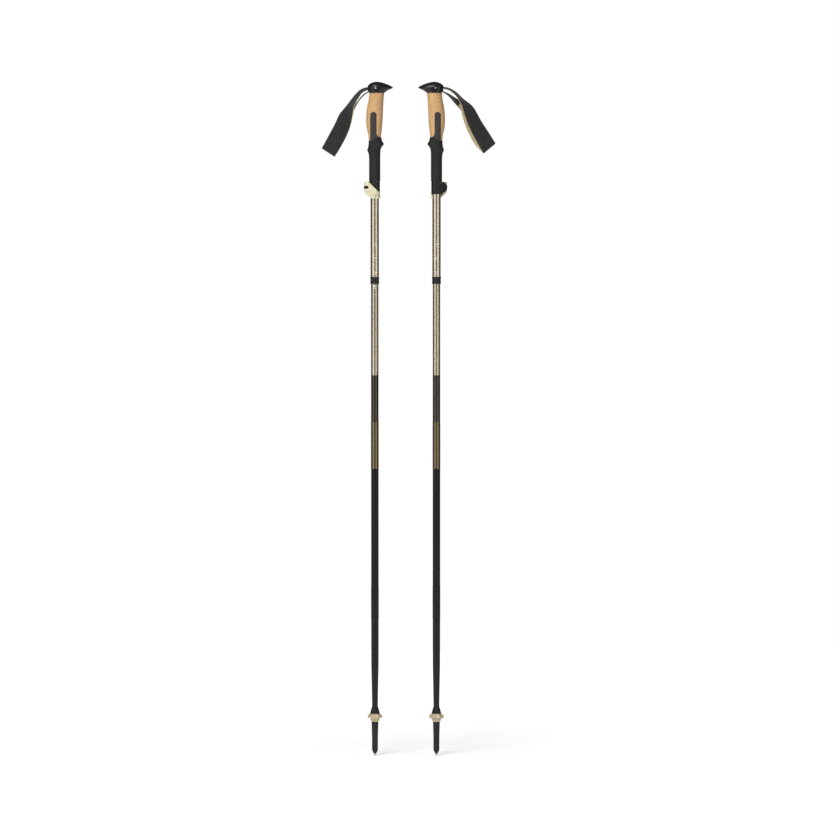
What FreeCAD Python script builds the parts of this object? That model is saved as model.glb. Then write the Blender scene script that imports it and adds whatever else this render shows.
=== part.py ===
"""A pair of folding trekking poles, standing on their tips with the shafts extended.

Millimetres, +Z up. The origin is on the ground, half way between the two tips.
Each pole is modelled about its own axis: +X towards the beak of the head, -Y towards
the clamp lever, +Z up from the tip. The right pole is the left one turned half a turn.
"""
import FreeCAD, Part
import math
import os
import re
import Sketcher

SHEET = "dims"
SIZES = {
    # the pair
    "pole_offset": 57.1,
    # how far construction pieces reach past what they cut
    "cutter_length": 60.0,
    "cutter_start": -30.0,
    "cutter_margin": 20.0,
    # tip, basket and lower shaft
    "point_length": 14.0,
    "point_radius": 2.1,
    "point_nose_radius": 1.15,
    "point_nose_height": 1.6,
    "tip_start": 4.6,
    "tip_nose_radius": 2.9,
    "tip_shoulder": 9.5,
    "tip_lower_radius": 5.2,
    "tip_cap_radius": 5.6,
    "tip_cap_bottom": 11.0,
    "tip_cap_top": 35.0,
    "tip_core_radius": 2.6,
    "tip_upper_radius": 6.4,
    "tip_socket": 40.0,
    "basket_bottom": 63.8,
    "basket_top": 78.8,
    "basket_flange_bottom": 72.6,
    "basket_flange_thickness": 3.2,
    "basket_disc_radius": 12.6,
    "basket_lobe_radius": 4.6,
    "basket_lobe_centre": 11.9,
    "basket_lobes": 6.0,
    "basket_hub_radius": 7.6,
    "basket_bore_radius": 5.9,
    "seat_thread_radius": 5.8,
    "dome_radius": 8.9,
    "dome_top": 90.5,
    "lower_end_radius": 5.45,
    "taper_bottom": 96.0,
    "taper_top": 166.0,
    # the folding shafts
    "shaft_radius": 6.9,
    "shaft_wall": 0.7,
    "lower_joint": 316.0,
    "upper_joint": 621.5,
    "joint_gap": 0.3,
    "fold_offset": 12.0,
    "spigot_length": 10.0,
    "spigot_clearance": 0.1,
    "spigot_plug_length": 20.0,
    "ferrule_wall": 0.25,
    "upper_ferrule_length": 87.0,
    "lower_ferrule_length": 60.0,
    "fold_shaft_top": 945.0,
    "guide_radius": 7.1,
    "guide_flange": 5.0,
    "cord_radius": 1.2,
    "cord_hole_radius": 1.5,
    "knot_radius": 2.6,
    "knot_length": 5.0,
    "stopper_top": 300.0,
    "stopper_length": 15.0,
    # button
    "button_height": 871.0,
    "button_radius": 2.1,
    "button_reach": 8.4,
    "button_flange_radius": 2.9,
    "dimple_radius": 0.8,
    "dimple_drop": 4.4,
    "clip_plane": 4.9,
    "clip_thickness": 0.4,
    "clip_width": 5.0,
    "clip_length": 25.0,
    "clip_tail": 4.0,
    # upper tube and collar
    "upper_tube_radius": 7.7,
    "upper_tube_wall": 0.5,
    "upper_tube_bottom": 880.2,
    "upper_tube_top": 1090.0,
    "collar_bottom": 877.0,
    "collar_top": 890.0,
    "collar_radius": 8.3,
    "collar_waist": 0.35,
    "collar_bore": 7.0,
    "anchor_length": 15.0,
    "anchor_flange": 4.0,
    # grip
    "grip_tube_radius": 8.4,
    "grip_tube_bore": 7.8,
    "grip_tube_bottom": 1043.0,
    "foam_bottom": 1066.2,
    "foam_handle_top": 1112.0,
    "foam_top": 1144.0,
    "foam_bottom_radius": 9.75,
    "foam_handle_radius": 10.0,
    "tongue_top": 1194.4,
    "tongue_radius": 6.0,
    "tongue_centre": -2.2,
    "tongue_core": 9.6,
    "head_bottom": 1229.0,
    "head_plug_length": 17.0,
    "strap_pin_x": 2.0,
    "strap_pin_height": 1238.0,
    "strap_pin_radius": 1.25,
    "strap_pin_length": 27.0,
    "strap_hinge_x": -16.0,
    "strap_hinge_height": 1234.6,
    "strap_root_radius": 2.8,
    "strap_thickness": 5.0,
    "webbing_width": 15.6,
    "slot_width": 16.4,
    "slot_bottom": 1230.6,
    "slot_top": 1239.6,
    "slot_end": -3.0,
    "strap_anchor_edge": -12.6,
    # clamp
    "clamp_bottom": 1042.8,
    "clamp_top": 1066.0,
    "clamp_radius": 9.7,
    "boss_radius": 10.8,
    "boss_x": -9.2,
    "boss_height": 1055.2,
    "boss_front": -1.4,
    "boss_back": 9.0,
    "split_front": 2.8,
    "split_width": 1.1,
    "screw_x": -13.6,
    "screw_height": 1055.3,
    "screw_radius": 2.0,
    "screw_head_radius": 3.4,
    "screw_head_seat": 6.2,
    "screw_head_length": 2.5,
    "screw_hex_radius": 1.7,
    "screw_hex_depth": 1.6,
    "barrel_y": -7.9,
    "barrel_radius": 3.1,
    "barrel_length": 13.0,
    # lever
    "lever_knuckle_radius": 5.7,
    "lever_knuckle_bottom": 1035.0,
    "lever_top": 1065.4,
    "lever_inner_radius": 10.0,
    "lever_thickness": 2.6,
    "lever_gap": 0.3,
    "lever_hook_inner": 8.1,
    "lever_hook_outer": 10.4,
    "lever_bore_radius": 3.3,
    "lever_slot_half_height": 2.6,
    "lever_slot_end": -13.9,
    "lever_slot_back": 5.0,
    "lever_reach": 10.4,
    "lever_plate_start": -8.0,
    "lever_plate_edge": 0.5,
    "lever_hook_start": -6.5,
    "lever_hook_edge": 2.8,
}

# horizontal slices through the head's lower part: height, centre, half length and half width
HEAD_SLICES = (
    (1229.0, 3.6, 14.2, 13.6),
    (1232.5, 5.2, 16.6, 14.4),
    (1236.0, 8.2, 20.6, 14.9),
    (1239.0, 10.3, 23.6, 15.0),
)
# the dome over them rises from the widest slice to its top over these angles of a quarter turn
DOME_ANGLES = (0.0, 20.0, 40.0, 60.0, 78.0)
DOME_HEIGHT = 11.2
DOME_SHIFT = -6.2
# slices through the cork, from the foam's rim up to the head
CORK_SLICES = (
    (1144.0, 0.2, 11.2, 10.9),
    (1152.0, 0.1, 11.9, 11.5),
    (1165.0, -0.6, 14.2, 13.1),
    (1180.0, -0.5, 15.3, 13.9),
    (1200.0, 0.6, 15.0, 13.6),
    (1215.0, 2.4, 14.0, 13.2),
    (1229.0, 4.0, 13.8, 13.2),
)
# slices through the foam's slanted finger ridge, with their tilt
RIDGE_SLICES = (
    (1112.0, 0.0, 10.0, 10.0, 0.0),
    (1116.0, 0.0, 10.2, 10.1, 4.0),
    (1122.5, 0.3, 12.4, 11.4, 14.0),
    (1129.5, 1.7, 16.2, 13.4, 19.8),
    (1136.5, 1.2, 12.8, 11.8, 12.0),
    (1141.0, 0.3, 11.4, 11.0, 4.0),
    (1144.0, 0.2, 11.2, 10.9, 0.0),
)
# each strap's outline seen from the lever side, from the root round the outer edge and back
STRAP_OUTLINES = {
    "left": (
        (-26.7, 1233.2),
        (-39.0, 1219.3),
        (-51.3, 1205.4),
        (-63.5, 1190.0),
        (-71.3, 1173.1),
        (-82.1, 1151.6),
        (-96.0, 1129.1),
        (-72.2, 1112.4),
        (-54.4, 1142.4),
        (-45.1, 1164.0),
        (-41.4, 1182.6),
        (-39.0, 1198.0),
        (-34.4, 1216.4),
        (-20.5, 1230.6),
    ),
    "right": (
        (-26.7, 1234.2),
        (-41.0, 1227.6),
        (-51.8, 1216.2),
        (-65.7, 1206.8),
        (-72.0, 1199.4),
        (-86.6, 1174.0),
        (-105.8, 1138.0),
        (-84.6, 1118.2),
        (-70.4, 1134.2),
        (-58.8, 1158.0),
        (-51.4, 1179.2),
        (-46.8, 1194.6),
        (-41.0, 1210.0),
        (-32.4, 1221.2),
        (-20.5, 1230.6),
    ),
}
# where the strap's twisted root meets its flat part
STRAP_LINK = ((-30.0, 1229.2), (-24.5, 1226.5))
# the lever's face seen from its own side, anticlockwise, with its two round corners
LEVER_OUTLINE = (
    (-17.4, 1065.4),
    (-19.5, 1063.3),
    (-19.5, 1050.6),
    (-15.6, 1042.6),
    (-8.4, 1037.0),
    (-5.0, 1034.6),
    (8.6, 1034.6),
    (10.4, 1036.4),
    (10.4, 1042.8),
    (9.8, 1044.4),
    (-11.2, 1065.4),
)
LEVER_ROUNDS = ((0, (-17.4, 1063.3), 2.1), (2, (-9.345, 1050.6), 10.155))
# the lever's flat front from above, from its knuckle to its plate
LEVER_FLAT = ((-13.2, -13.58), (0.9, -12.56), (0.0, -9.0), (-13.6, -7.9))

POLES = (("left", -1.0, 0.0), ("right", 1.0, 180.0))

doc = FreeCAD.newDocument("trekking_poles")
sheet = doc.addObject("Spreadsheet::Sheet", SHEET)
for row, (alias, amount) in enumerate(SIZES.items(), start=1):
    sheet.set(f"A{row}", alias)
    sheet.set(f"B{row}", str(amount))
    sheet.setAlias(f"B{row}", alias)
doc.recompute()


def linked(text):
    """An expression with each size's name pointed at the sheet."""
    return re.sub(
        r"[a-z]\w+",
        lambda word: f"{SHEET}.{word[0]}" if word[0] in SIZES else word[0],
        text,
    )


def amount_of(text):
    """What an expression is worth, in millimetres."""
    return float(sheet.evalExpression(linked(text)))


def bind(thing, **properties):
    """Tie an object's properties to expressions of the sheet's sizes."""
    for name, text in properties.items():
        thing.setExpression(name, linked(str(text)))


def put(thing, x="0", y="0", z="0"):
    """Tie an object's position to expressions."""
    for axis, text in zip("xyz", (x, y, z)):
        thing.setExpression(f".Placement.Base.{axis}", linked(str(text)))


class Pole:
    """One pole: its pieces are document objects, kept by the names of their nodes."""

    def __init__(self, side, direction, turn):
        self.side = side
        self.direction = direction
        self.turn = turn
        self.pieces = {}

    def name(self, word):
        return f"{self.side}_{word}"

    def keep(self, word, thing):
        """Name a finished piece."""
        thing.Label = self.name(word)
        self.pieces[self.name(word)] = thing
        return thing

    def add(self, kind, word, **properties):
        thing = doc.addObject(kind, self.name(word))
        bind(thing, **properties)
        return thing

    def body(self, word):
        return doc.addObject("PartDesign::Body", self.name(word))

    def sketch(self, body, plane, word):
        """A sketch on one of its own body's origin planes."""
        sketch = body.newObject("Sketcher::SketchObject", self.name(word))
        origin = [feature for feature in body.Origin.OriginFeatures if feature.Role == plane]
        sketch.AttachmentSupport = [(origin[0], "")]
        sketch.MapMode = "FlatFace"
        return sketch

    def outline(self, sketch, corners, arcs=()):
        """A closed outline through corners, each two expressions. An arc runs from a corner to
        the next one round a centre, with its radius as an expression."""
        spots = [FreeCAD.Vector(amount_of(x), amount_of(y), 0) for x, y in corners]
        rounds = {start: (centre, radius) for start, centre, radius in arcs}
        for index, start in enumerate(spots):
            finish = spots[(index + 1) % len(spots)]
            if index in rounds:
                centre = FreeCAD.Vector(*[amount_of(text) for text in rounds[index][0]], 0)
                size = (start - centre).Length
                middle = centre + ((start + finish) * 0.5 - centre).normalize() * size
                sketch.addGeometry(Part.Arc(start, middle, finish), False)
            else:
                sketch.addGeometry(Part.LineSegment(start, finish), False)
        for index, (x, y) in enumerate(corners):
            after = (index + 1) % len(corners)
            flipped = index in rounds and self.arc_is_flipped(sketch, index, spots[index])
            next_flipped = after in rounds and self.arc_is_flipped(sketch, after, spots[after])
            end = 1 if flipped else 2
            begin = 2 if next_flipped else 1
            sketch.addConstraint(Sketcher.Constraint("Coincident", index, end, after, begin))
            corner = 2 if flipped else 1
            for kind, text in (("DistanceX", x), ("DistanceY", y)):
                size = amount_of(text)
                place = sketch.addConstraint(
                    Sketcher.Constraint(kind, -1, 1, index, corner, size)
                )
                sketch.setExpression(f"Constraints[{place}]", linked(text))
            if index in rounds:
                text = rounds[index][1]
                place = sketch.addConstraint(
                    Sketcher.Constraint("Radius", index, amount_of(text))
                )
                sketch.setExpression(f"Constraints[{place}]", linked(text))

    def arc_is_flipped(self, sketch, index, start):
        """Arcs are stored anticlockwise, so one drawn clockwise has its ends swapped."""
        return (sketch.Geometry[index].StartPoint - start).Length > 1e-6

    def turned(self, word, corners, arcs=(), keep=True):
        """A piece turned about the pole's axis from an outline of radius and height."""
        body = self.body(word)
        sketch = self.sketch(body, "XZ_Plane", f"{word}_profile")
        self.outline(sketch, corners, arcs)
        turning = body.newObject("PartDesign::Revolution", self.name(f"{word}_turned"))
        turning.Profile = sketch
        turning.ReferenceAxis = (sketch, ["V_Axis"])
        turning.Angle = 360.0
        sketch.Visibility = False
        return self.keep(word, body) if keep else body

    def padded(self, word, plane, corners, length, arcs=()):
        """A body whose outline is padded to both sides of its plane."""
        body = self.body(word)
        sketch = self.sketch(body, plane, f"{word}_outline")
        self.outline(sketch, corners, arcs)
        pad = body.newObject("PartDesign::Pad", self.name(f"{word}_pad"))
        pad.Profile = sketch
        pad.Midplane = True
        bind(pad, Length=length)
        sketch.Visibility = False
        return body

    def lofted(self, word, slices):
        """A smooth form through ellipses, each at a height, with a centre and two half sizes."""
        sections = []
        for number, (height, centre, half_length, half_width, *tilt) in enumerate(slices):
            ellipse = doc.addObject("Part::Ellipse", self.name(f"{word}_slice_{number}"))
            ellipse.MajorRadius = half_length
            ellipse.MinorRadius = half_width
            lean = FreeCAD.Rotation(FreeCAD.Vector(0, 1, 0), -sum(tilt))
            ellipse.Placement = FreeCAD.Placement(FreeCAD.Vector(centre, 0, height), lean)
            sections.append(ellipse)
        loft = doc.addObject("Part::Loft", self.name(f"{word}_form"))
        loft.Sections = sections
        loft.Solid = True
        loft.Ruled = False
        return loft

    def rod(self, word, radius, length, x="0", y="0", z="0", along="z"):
        """A cylinder whose start is at a point and which runs along +Z or +Y."""
        rod = self.add("Part::Cylinder", word, Radius=radius, Height=length)
        if along == "y":
            rod.Placement.Rotation = FreeCAD.Rotation(FreeCAD.Vector(1, 0, 0), -90)
        put(rod, x, y, z)
        return rod

    def block(self, word, low, high):
        """A box between two corners, given as expressions."""
        box = self.add("Part::Box", word)
        sides = [f"{b} - ( {a} )" for a, b in zip(low, high)]
        bind(box, Length=sides[0], Width=sides[1], Height=sides[2])
        put(box, *low)
        return box

    def cut(self, word, base, *tools):
        tool = tools[0] if len(tools) == 1 else self.fuse(f"{word}_tools", *tools)
        result = doc.addObject("Part::Cut", self.name(word))
        result.Base = base
        result.Tool = tool
        return result

    def fuse(self, word, *things):
        result = doc.addObject("Part::MultiFuse", self.name(word))
        result.Shapes = list(things)
        return result

    def common(self, word, *things):
        result = doc.addObject("Part::MultiCommon", self.name(word))
        result.Shapes = list(things)
        return result

    # the tip end

    def tip(self):
        """The hard point, the moulded tip with the basket's seat, and the basket."""
        self.turned(
            "tip_point",
            (
                ("0", "0"),
                ("point_nose_radius", "0"),
                ("point_radius", "point_nose_height"),
                ("point_radius", "point_length"),
                ("0", "point_length"),
            ),
        )
        self.turned(
            "tip_body",
            (
                ("point_radius", "tip_start"),
                ("tip_nose_radius", "tip_start"),
                ("tip_lower_radius", "tip_shoulder"),
                ("tip_cap_radius", "tip_cap_bottom"),
                ("tip_cap_radius", "tip_cap_top"),
                ("tip_upper_radius", "basket_bottom - 2"),
                ("seat_thread_radius", "basket_bottom"),
                ("seat_thread_radius", "basket_top"),
                ("dome_radius", "basket_top + 0.2"),
                ("dome_radius - 0.9", "basket_top + 4.4"),
                ("lower_end_radius + 0.5", "dome_top"),
                ("lower_end_radius", "dome_top"),
                ("lower_end_radius", "tip_socket"),
                ("tip_core_radius", "tip_socket"),
                ("tip_core_radius", "point_length + 1"),
                ("point_radius", "point_length + 1"),
            ),
        )
        self.basket()

    def basket(self):
        """A hub on the tip's seat with a disc round it, and lobes that scallop the disc."""
        hub = self.turned(
            "basket_hub",
            (
                ("basket_bore_radius", "basket_bottom"),
                ("basket_hub_radius", "basket_bottom"),
                ("basket_hub_radius + 1.6", "basket_flange_bottom"),
                ("basket_disc_radius", "basket_flange_bottom"),
                ("basket_disc_radius", "basket_flange_bottom + basket_flange_thickness"),
                ("basket_hub_radius + 1.8", "basket_flange_bottom + basket_flange_thickness"),
                ("basket_hub_radius + 1.8", "basket_top"),
                ("basket_bore_radius", "basket_top"),
            ),
            keep=False,
        )
        lobes = [
            self.rod(
                f"basket_lobe_{number}",
                "basket_lobe_radius",
                "basket_flange_thickness",
                f"basket_lobe_centre * cos({number} * 360deg / basket_lobes)",
                f"basket_lobe_centre * sin({number} * 360deg / basket_lobes)",
                "basket_flange_bottom",
            )
            for number in range(int(SIZES["basket_lobes"]))
        ]
        self.keep("basket", self.fuse("basket", hub, *lobes))

    # the folding shafts

    def shafts(self):
        """The lower, middle and upper folding shafts with their sleeves."""
        self.turned(
            "lower_shaft",
            (
                ("lower_end_radius - shaft_wall", "tip_socket"),
                ("lower_end_radius", "tip_socket"),
                ("lower_end_radius", "taper_bottom"),
                ("shaft_radius", "taper_top"),
                ("shaft_radius", "lower_joint - joint_gap / 2"),
                ("shaft_radius - shaft_wall", "lower_joint - joint_gap / 2"),
                ("shaft_radius - shaft_wall", "taper_top"),
                ("lower_end_radius - shaft_wall", "taper_bottom"),
            ),
        )
        self.tube(
            "mid_shaft",
            "shaft_radius",
            "shaft_wall",
            "lower_joint + joint_gap / 2",
            "upper_joint - joint_gap / 2",
        )
        self.fold_shaft()
        for word, top, length in (
            ("lower_ferrule", "lower_joint", "lower_ferrule_length"),
            ("mid_ferrule", "upper_joint", "upper_ferrule_length"),
        ):
            self.tube(
                word,
                "shaft_radius + ferrule_wall",
                "ferrule_wall",
                f"{top} - {length}",
                f"{top} - joint_gap / 2",
            )
        for word, joint in (("lower_spigot", "lower_joint"), ("upper_spigot", "upper_joint")):
            self.spigot(word, joint)

    def tube(self, word, radius, wall, bottom, top):
        """A plain tube, turned from a rectangle."""
        inner = f"{radius} - ({wall})"
        return self.turned(
            word, ((inner, bottom), (radius, bottom), (radius, top), (inner, top))
        )

    def fold_shaft(self):
        """The shaft that slides in the upper tube, with holes for its button."""
        blank = self.turned(
            "fold_shaft_blank",
            (
                ("shaft_radius - shaft_wall", "upper_joint + joint_gap / 2"),
                ("shaft_radius", "upper_joint + joint_gap / 2"),
                ("shaft_radius", "fold_shaft_top"),
                ("shaft_radius - shaft_wall", "fold_shaft_top"),
            ),
            keep=False,
        )
        hole = self.rod(
            "button_hole",
            "button_radius + 0.25",
            "shaft_radius",
            y="0 - shaft_radius - 1",
            z="button_height",
            along="y",
        )
        dimple = self.rod(
            "dimple_hole",
            "dimple_radius",
            "shaft_radius",
            y="0 - shaft_radius - 1",
            z="button_height - dimple_drop",
            along="y",
        )
        self.keep("fold_shaft", self.cut("fold_shaft", blank, hole, dimple))

    def spigot(self, word, joint):
        """A plug with a short nose. The nose's side is an arc round the fold's pivot, so that it
        swings out of the next shaft without touching it."""
        reach = "( shaft_radius - shaft_wall + fold_offset - spigot_clearance )"
        nose = f"sqrt( {reach} * {reach} - spigot_length * spigot_length ) - fold_offset"
        self.turned(
            word,
            (
                ("cord_hole_radius", f"{joint} - spigot_length"),
                (nose, f"{joint} - spigot_length"),
                ("shaft_radius - shaft_wall - spigot_clearance", joint),
                ("shaft_radius - shaft_wall - spigot_clearance", f"{joint} + spigot_plug_length"),
                ("cord_hole_radius", f"{joint} + spigot_plug_length"),
            ),
            arcs=((1, ("0 - fold_offset", joint), reach),),
        )

    # what holds the shafts together

    def cord_parts(self):
        """The tension cord with its two knots, its anchors, and the sliding shaft's guide."""
        knot_top = "upper_tube_top + anchor_flange + knot_length"
        knot_bottom = "stopper_top - stopper_length - knot_length"
        self.turned(
            "tension_cord",
            (
                ("0", knot_bottom),
                ("knot_radius", knot_bottom),
                ("knot_radius", f"{knot_bottom} + knot_length"),
                ("cord_radius", f"{knot_bottom} + knot_length"),
                ("cord_radius", f"{knot_top} - knot_length"),
                ("knot_radius", f"{knot_top} - knot_length"),
                ("knot_radius", knot_top),
                ("0", knot_top),
            ),
        )
        self.tube(
            "cord_stopper",
            "shaft_radius - shaft_wall",
            "shaft_radius - shaft_wall - cord_hole_radius",
            "stopper_top - stopper_length",
            "stopper_top",
        )
        self.flanged_plug(
            "cord_anchor",
            "upper_tube_radius - upper_tube_wall",
            "upper_tube_radius",
            "upper_tube_top - anchor_length",
            "upper_tube_top",
            "upper_tube_top + anchor_flange",
        )
        self.flanged_plug(
            "shaft_guide",
            "shaft_radius - shaft_wall",
            "guide_radius",
            "fold_shaft_top - anchor_length",
            "fold_shaft_top",
            "fold_shaft_top + guide_flange",
        )

    def flanged_plug(self, word, plug, flange, bottom, seat, top):
        """A bored plug that sits in a tube's end, with a flange on top."""
        self.turned(
            word,
            (
                ("cord_hole_radius", bottom),
                (plug, bottom),
                (plug, seat),
                (flange, seat),
                (flange, top),
                ("cord_hole_radius", top),
            ),
        )

    def button(self):
        """The button that locks the sliding shaft, and the leaf spring behind it."""
        body = self.body("push_button")
        sketch = self.sketch(body, "YZ_Plane", "push_button_profile")
        height = "button_height"
        self.outline(
            sketch,
            (
                ("0 - button_reach", height),
                ("0 - button_reach", f"{height} + button_radius - 0.7"),
                ("0.7 - button_reach", f"{height} + button_radius"),
                ("0 - clip_plane - clip_thickness", f"{height} + button_radius"),
                ("0 - clip_plane - clip_thickness", f"{height} + button_flange_radius"),
                ("0 - clip_plane", f"{height} + button_flange_radius"),
                ("0 - clip_plane", height),
            ),
        )
        turning = body.newObject("PartDesign::Revolution", self.name("push_button_turned"))
        turning.Profile = sketch
        turning.ReferenceAxis = (sketch, ["Edge7"])
        turning.Angle = 360.0
        self.keep("push_button", body)
        front = "0 - clip_plane"
        inner = "clip_plane - clip_thickness"
        bottom = "button_height - clip_length"
        strip = self.padded(
            "button_spring_strip",
            "YZ_Plane",
            (
                (front, "button_height + clip_tail"),
                (front, bottom),
                ("clip_plane", bottom),
                ("clip_plane", "button_height + clip_tail"),
                (inner, "button_height + clip_tail"),
                (inner, f"{bottom} + clip_thickness"),
                (f"0 - ( {inner} )", f"{bottom} + clip_thickness"),
                (f"0 - ( {inner} )", "button_height + clip_tail"),
            ),
            "clip_width",
        )
        hole = self.rod("button_spring_hole", "cord_hole_radius", "clip_length", z=f"{bottom} - 1")
        self.keep("button_spring", self.cut("button_spring", strip, hole))

    def upper(self):
        """The upper tube and the collar on its lower end."""
        self.tube(
            "upper_tube",
            "upper_tube_radius",
            "upper_tube_wall",
            "upper_tube_bottom",
            "upper_tube_top",
        )
        self.turned(
            "tube_collar",
            (
                ("collar_bore", "collar_bottom"),
                ("collar_radius - 0.3", "collar_bottom"),
                ("collar_radius", "collar_bottom + 0.8"),
                ("collar_radius", "collar_bottom + 2.8"),
                ("collar_radius - collar_waist", "collar_bottom + 4.4"),
                ("collar_radius - collar_waist", "collar_top - 4.4"),
                ("collar_radius", "collar_top - 2.8"),
                ("collar_radius", "collar_top - 0.8"),
                ("collar_radius - 0.3", "collar_top"),
                ("upper_tube_radius", "collar_top"),
                ("upper_tube_radius", "upper_tube_bottom"),
                ("collar_bore", "upper_tube_bottom"),
            ),
        )

    # the grip

    def grip(self):
        """The grip's inner tube, the foam with its inlaid tongue, and the cork."""
        bore = self.rod(
            "grip_bore", "grip_tube_radius", "head_bottom - foam_bottom", z="foam_bottom"
        )
        self.tube(
            "grip_tube",
            "grip_tube_radius",
            "grip_tube_radius - grip_tube_bore",
            "grip_tube_bottom",
            "head_bottom",
        )
        cork_form = self.lofted("cork_grip", CORK_SLICES)
        ridge = self.lofted("foam_ridge", RIDGE_SLICES)
        handle = self.add(
            "Part::Cone",
            "foam_handle",
            Radius1="foam_bottom_radius",
            Radius2="foam_handle_radius",
            Height="foam_handle_top - foam_bottom",
        )
        put(handle, z="foam_bottom")
        core = self.rod(
            "tongue_core", "tongue_core", "head_bottom - foam_top", z="foam_top"
        )
        tongue_corners = (
            ("tongue_centre - tongue_radius", "foam_top"),
            ("tongue_centre + tongue_radius", "foam_top"),
            ("tongue_centre + tongue_radius", "tongue_top - tongue_radius"),
            ("tongue_centre - tongue_radius", "tongue_top - tongue_radius"),
        )
        prism = self.padded(
            "tongue_prism",
            "XZ_Plane",
            tongue_corners,
            "cutter_length",
        )
        crown = self.rod(
            "tongue_crown",
            "tongue_radius",
            "cutter_length",
            "tongue_centre",
            "cutter_start",
            "tongue_top - tongue_radius",
            along="y",
        )
        tongue_blank = self.fuse("tongue_blank", prism, crown)
        tongue = self.cut("tongue_form", tongue_blank, core)
        self.keep("cork_grip", self.cut("cork_grip", cork_form, tongue, bore))
        inlay = self.common("tongue_inlay", tongue, cork_form)
        foam = self.fuse("foam_blank", handle, ridge, inlay)
        self.keep("foam_grip", self.cut("foam_grip", foam, bore))

    def head(self):
        """The moulded head with a plug into the tube and a slot for the strap, and its pin."""
        lower = self.lofted("head_lower", HEAD_SLICES)
        height, centre, half_length, half_width = HEAD_SLICES[-1]
        dome_slices = [
            (
                height + DOME_HEIGHT * math.sin(math.radians(angle)),
                centre + DOME_SHIFT * math.sin(math.radians(angle)) ** 2,
                half_length * math.cos(math.radians(angle)),
                half_width * math.cos(math.radians(angle)),
            )
            for angle in DOME_ANGLES
        ]
        dome = self.lofted("head_dome", dome_slices)
        plug = self.rod(
            "head_plug",
            "grip_tube_bore",
            "head_plug_length + 1",
            z="head_bottom - head_plug_length",
        )
        slot = self.block(
            "head_slot",
            ("0 - cutter_length", "0 - slot_width / 2", "slot_bottom"),
            ("slot_end", "slot_width / 2", "slot_top"),
        )
        pin_hole = self.rod(
            "head_pin_hole",
            "strap_pin_radius",
            "cutter_length",
            "strap_pin_x",
            "cutter_start",
            "strap_pin_height",
            along="y",
        )
        blank = self.fuse("head_blank", lower, dome, plug)
        self.keep("grip_head", self.cut("grip_head", blank, slot, pin_hole))
        pin = self.rod(
            "strap_pin",
            "strap_pin_radius",
            "strap_pin_length",
            "strap_pin_x",
            "0 - strap_pin_length / 2",
            "strap_pin_height",
            along="y",
        )
        self.keep("strap_pin", pin)

    def strap(self):
        """The webbing's fixed end in the head, and the hanging loop as one flat solid."""
        tab = self.block(
            "strap_anchor",
            ("strap_anchor_edge", "0 - webbing_width / 2", "slot_bottom + 0.4"),
            ("slot_end", "webbing_width / 2", "slot_top - 0.4"),
        )
        self.keep("strap_anchor", tab)
        loop = self.padded(
            "strap_loop",
            "XZ_Plane",
            [(str(x), str(z)) for x, z in STRAP_OUTLINES[self.side]],
            "strap_thickness",
        )
        root = self.rod(
            "strap_root",
            "strap_root_radius",
            "webbing_width",
            "strap_hinge_x",
            "0 - webbing_width / 2",
            "strap_hinge_height",
            along="y",
        )
        link = self.padded(
            "strap_link",
            "XZ_Plane",
            (
                ("strap_hinge_x", "strap_hinge_height + strap_root_radius * 0.9"),
                *[(str(x), str(z)) for x, z in STRAP_LINK],
                ("strap_hinge_x", "strap_hinge_height - strap_root_radius * 0.9"),
            ),
            "webbing_width",
        )
        self.keep("wrist_strap", self.fuse("wrist_strap", loop, root, link))

    # the clamp

    def clamp(self):
        """The split clamp band, its screw and barrel nut, and the lever."""
        band = self.rod(
            "clamp_band", "clamp_radius", "clamp_top - clamp_bottom", z="clamp_bottom"
        )
        boss = self.rod(
            "clamp_boss",
            "boss_radius",
            "boss_back - boss_front",
            "boss_x",
            "boss_front",
            "boss_height",
            along="y",
        )
        low = "clamp_bottom - cutter_margin"
        bore = self.rod("clamp_bore", "grip_tube_radius", "cutter_length", z=low)
        split = self.block(
            "clamp_split",
            ("cutter_start", "split_front", low),
            ("0", "split_front + split_width", "clamp_top + cutter_margin"),
        )
        screw_hole = self.rod(
            "clamp_screw_hole",
            "screw_radius + 0.1",
            "cutter_length",
            "screw_x",
            "cutter_start",
            "screw_height",
            along="y",
        )
        recess = self.rod(
            "clamp_recess",
            "screw_head_radius + 0.4",
            "cutter_length",
            "screw_x",
            "screw_head_seat",
            "screw_height",
            along="y",
        )
        blank = self.fuse("clamp_blank", band, boss)
        self.keep("clamp_body", self.cut("clamp_body", blank, bore, split, screw_hole, recess))
        self.screw()
        barrel = self.rod(
            "clamp_barrel_rod",
            "barrel_radius",
            "barrel_length",
            "screw_x",
            "barrel_y",
            "screw_height - barrel_length / 2",
        )
        cross = self.rod(
            "clamp_barrel_hole",
            "screw_radius",
            "cutter_length / 2",
            "screw_x",
            "barrel_y - cutter_length / 4",
            "screw_height",
            along="y",
        )
        self.keep("clamp_barrel", self.cut("clamp_barrel", barrel, cross))
        self.lever()

    def screw(self):
        """A socket-head screw that runs through both ears into the barrel nut."""
        shank = self.rod(
            "clamp_screw_shank",
            "screw_radius",
            "screw_head_seat - barrel_y + 2",
            "screw_x",
            "barrel_y - 2",
            "screw_height",
            along="y",
        )
        head = self.rod(
            "clamp_screw_head",
            "screw_head_radius",
            "screw_head_length",
            "screw_x",
            "screw_head_seat",
            "screw_height",
            along="y",
        )
        socket = self.add(
            "Part::Prism", "clamp_screw_socket", Circumradius="screw_hex_radius",
            Height="screw_hex_depth + 1",
        )
        socket.Polygon = 6
        socket.Placement.Rotation = FreeCAD.Rotation(FreeCAD.Vector(1, 0, 0), -90)
        put(
            socket,
            "screw_x",
            "screw_head_seat + screw_head_length - screw_hex_depth",
            "screw_height",
        )
        blank = self.fuse("clamp_screw_blank", shank, head)
        self.keep("clamp_screw", self.cut("clamp_screw", blank, socket))

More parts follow.
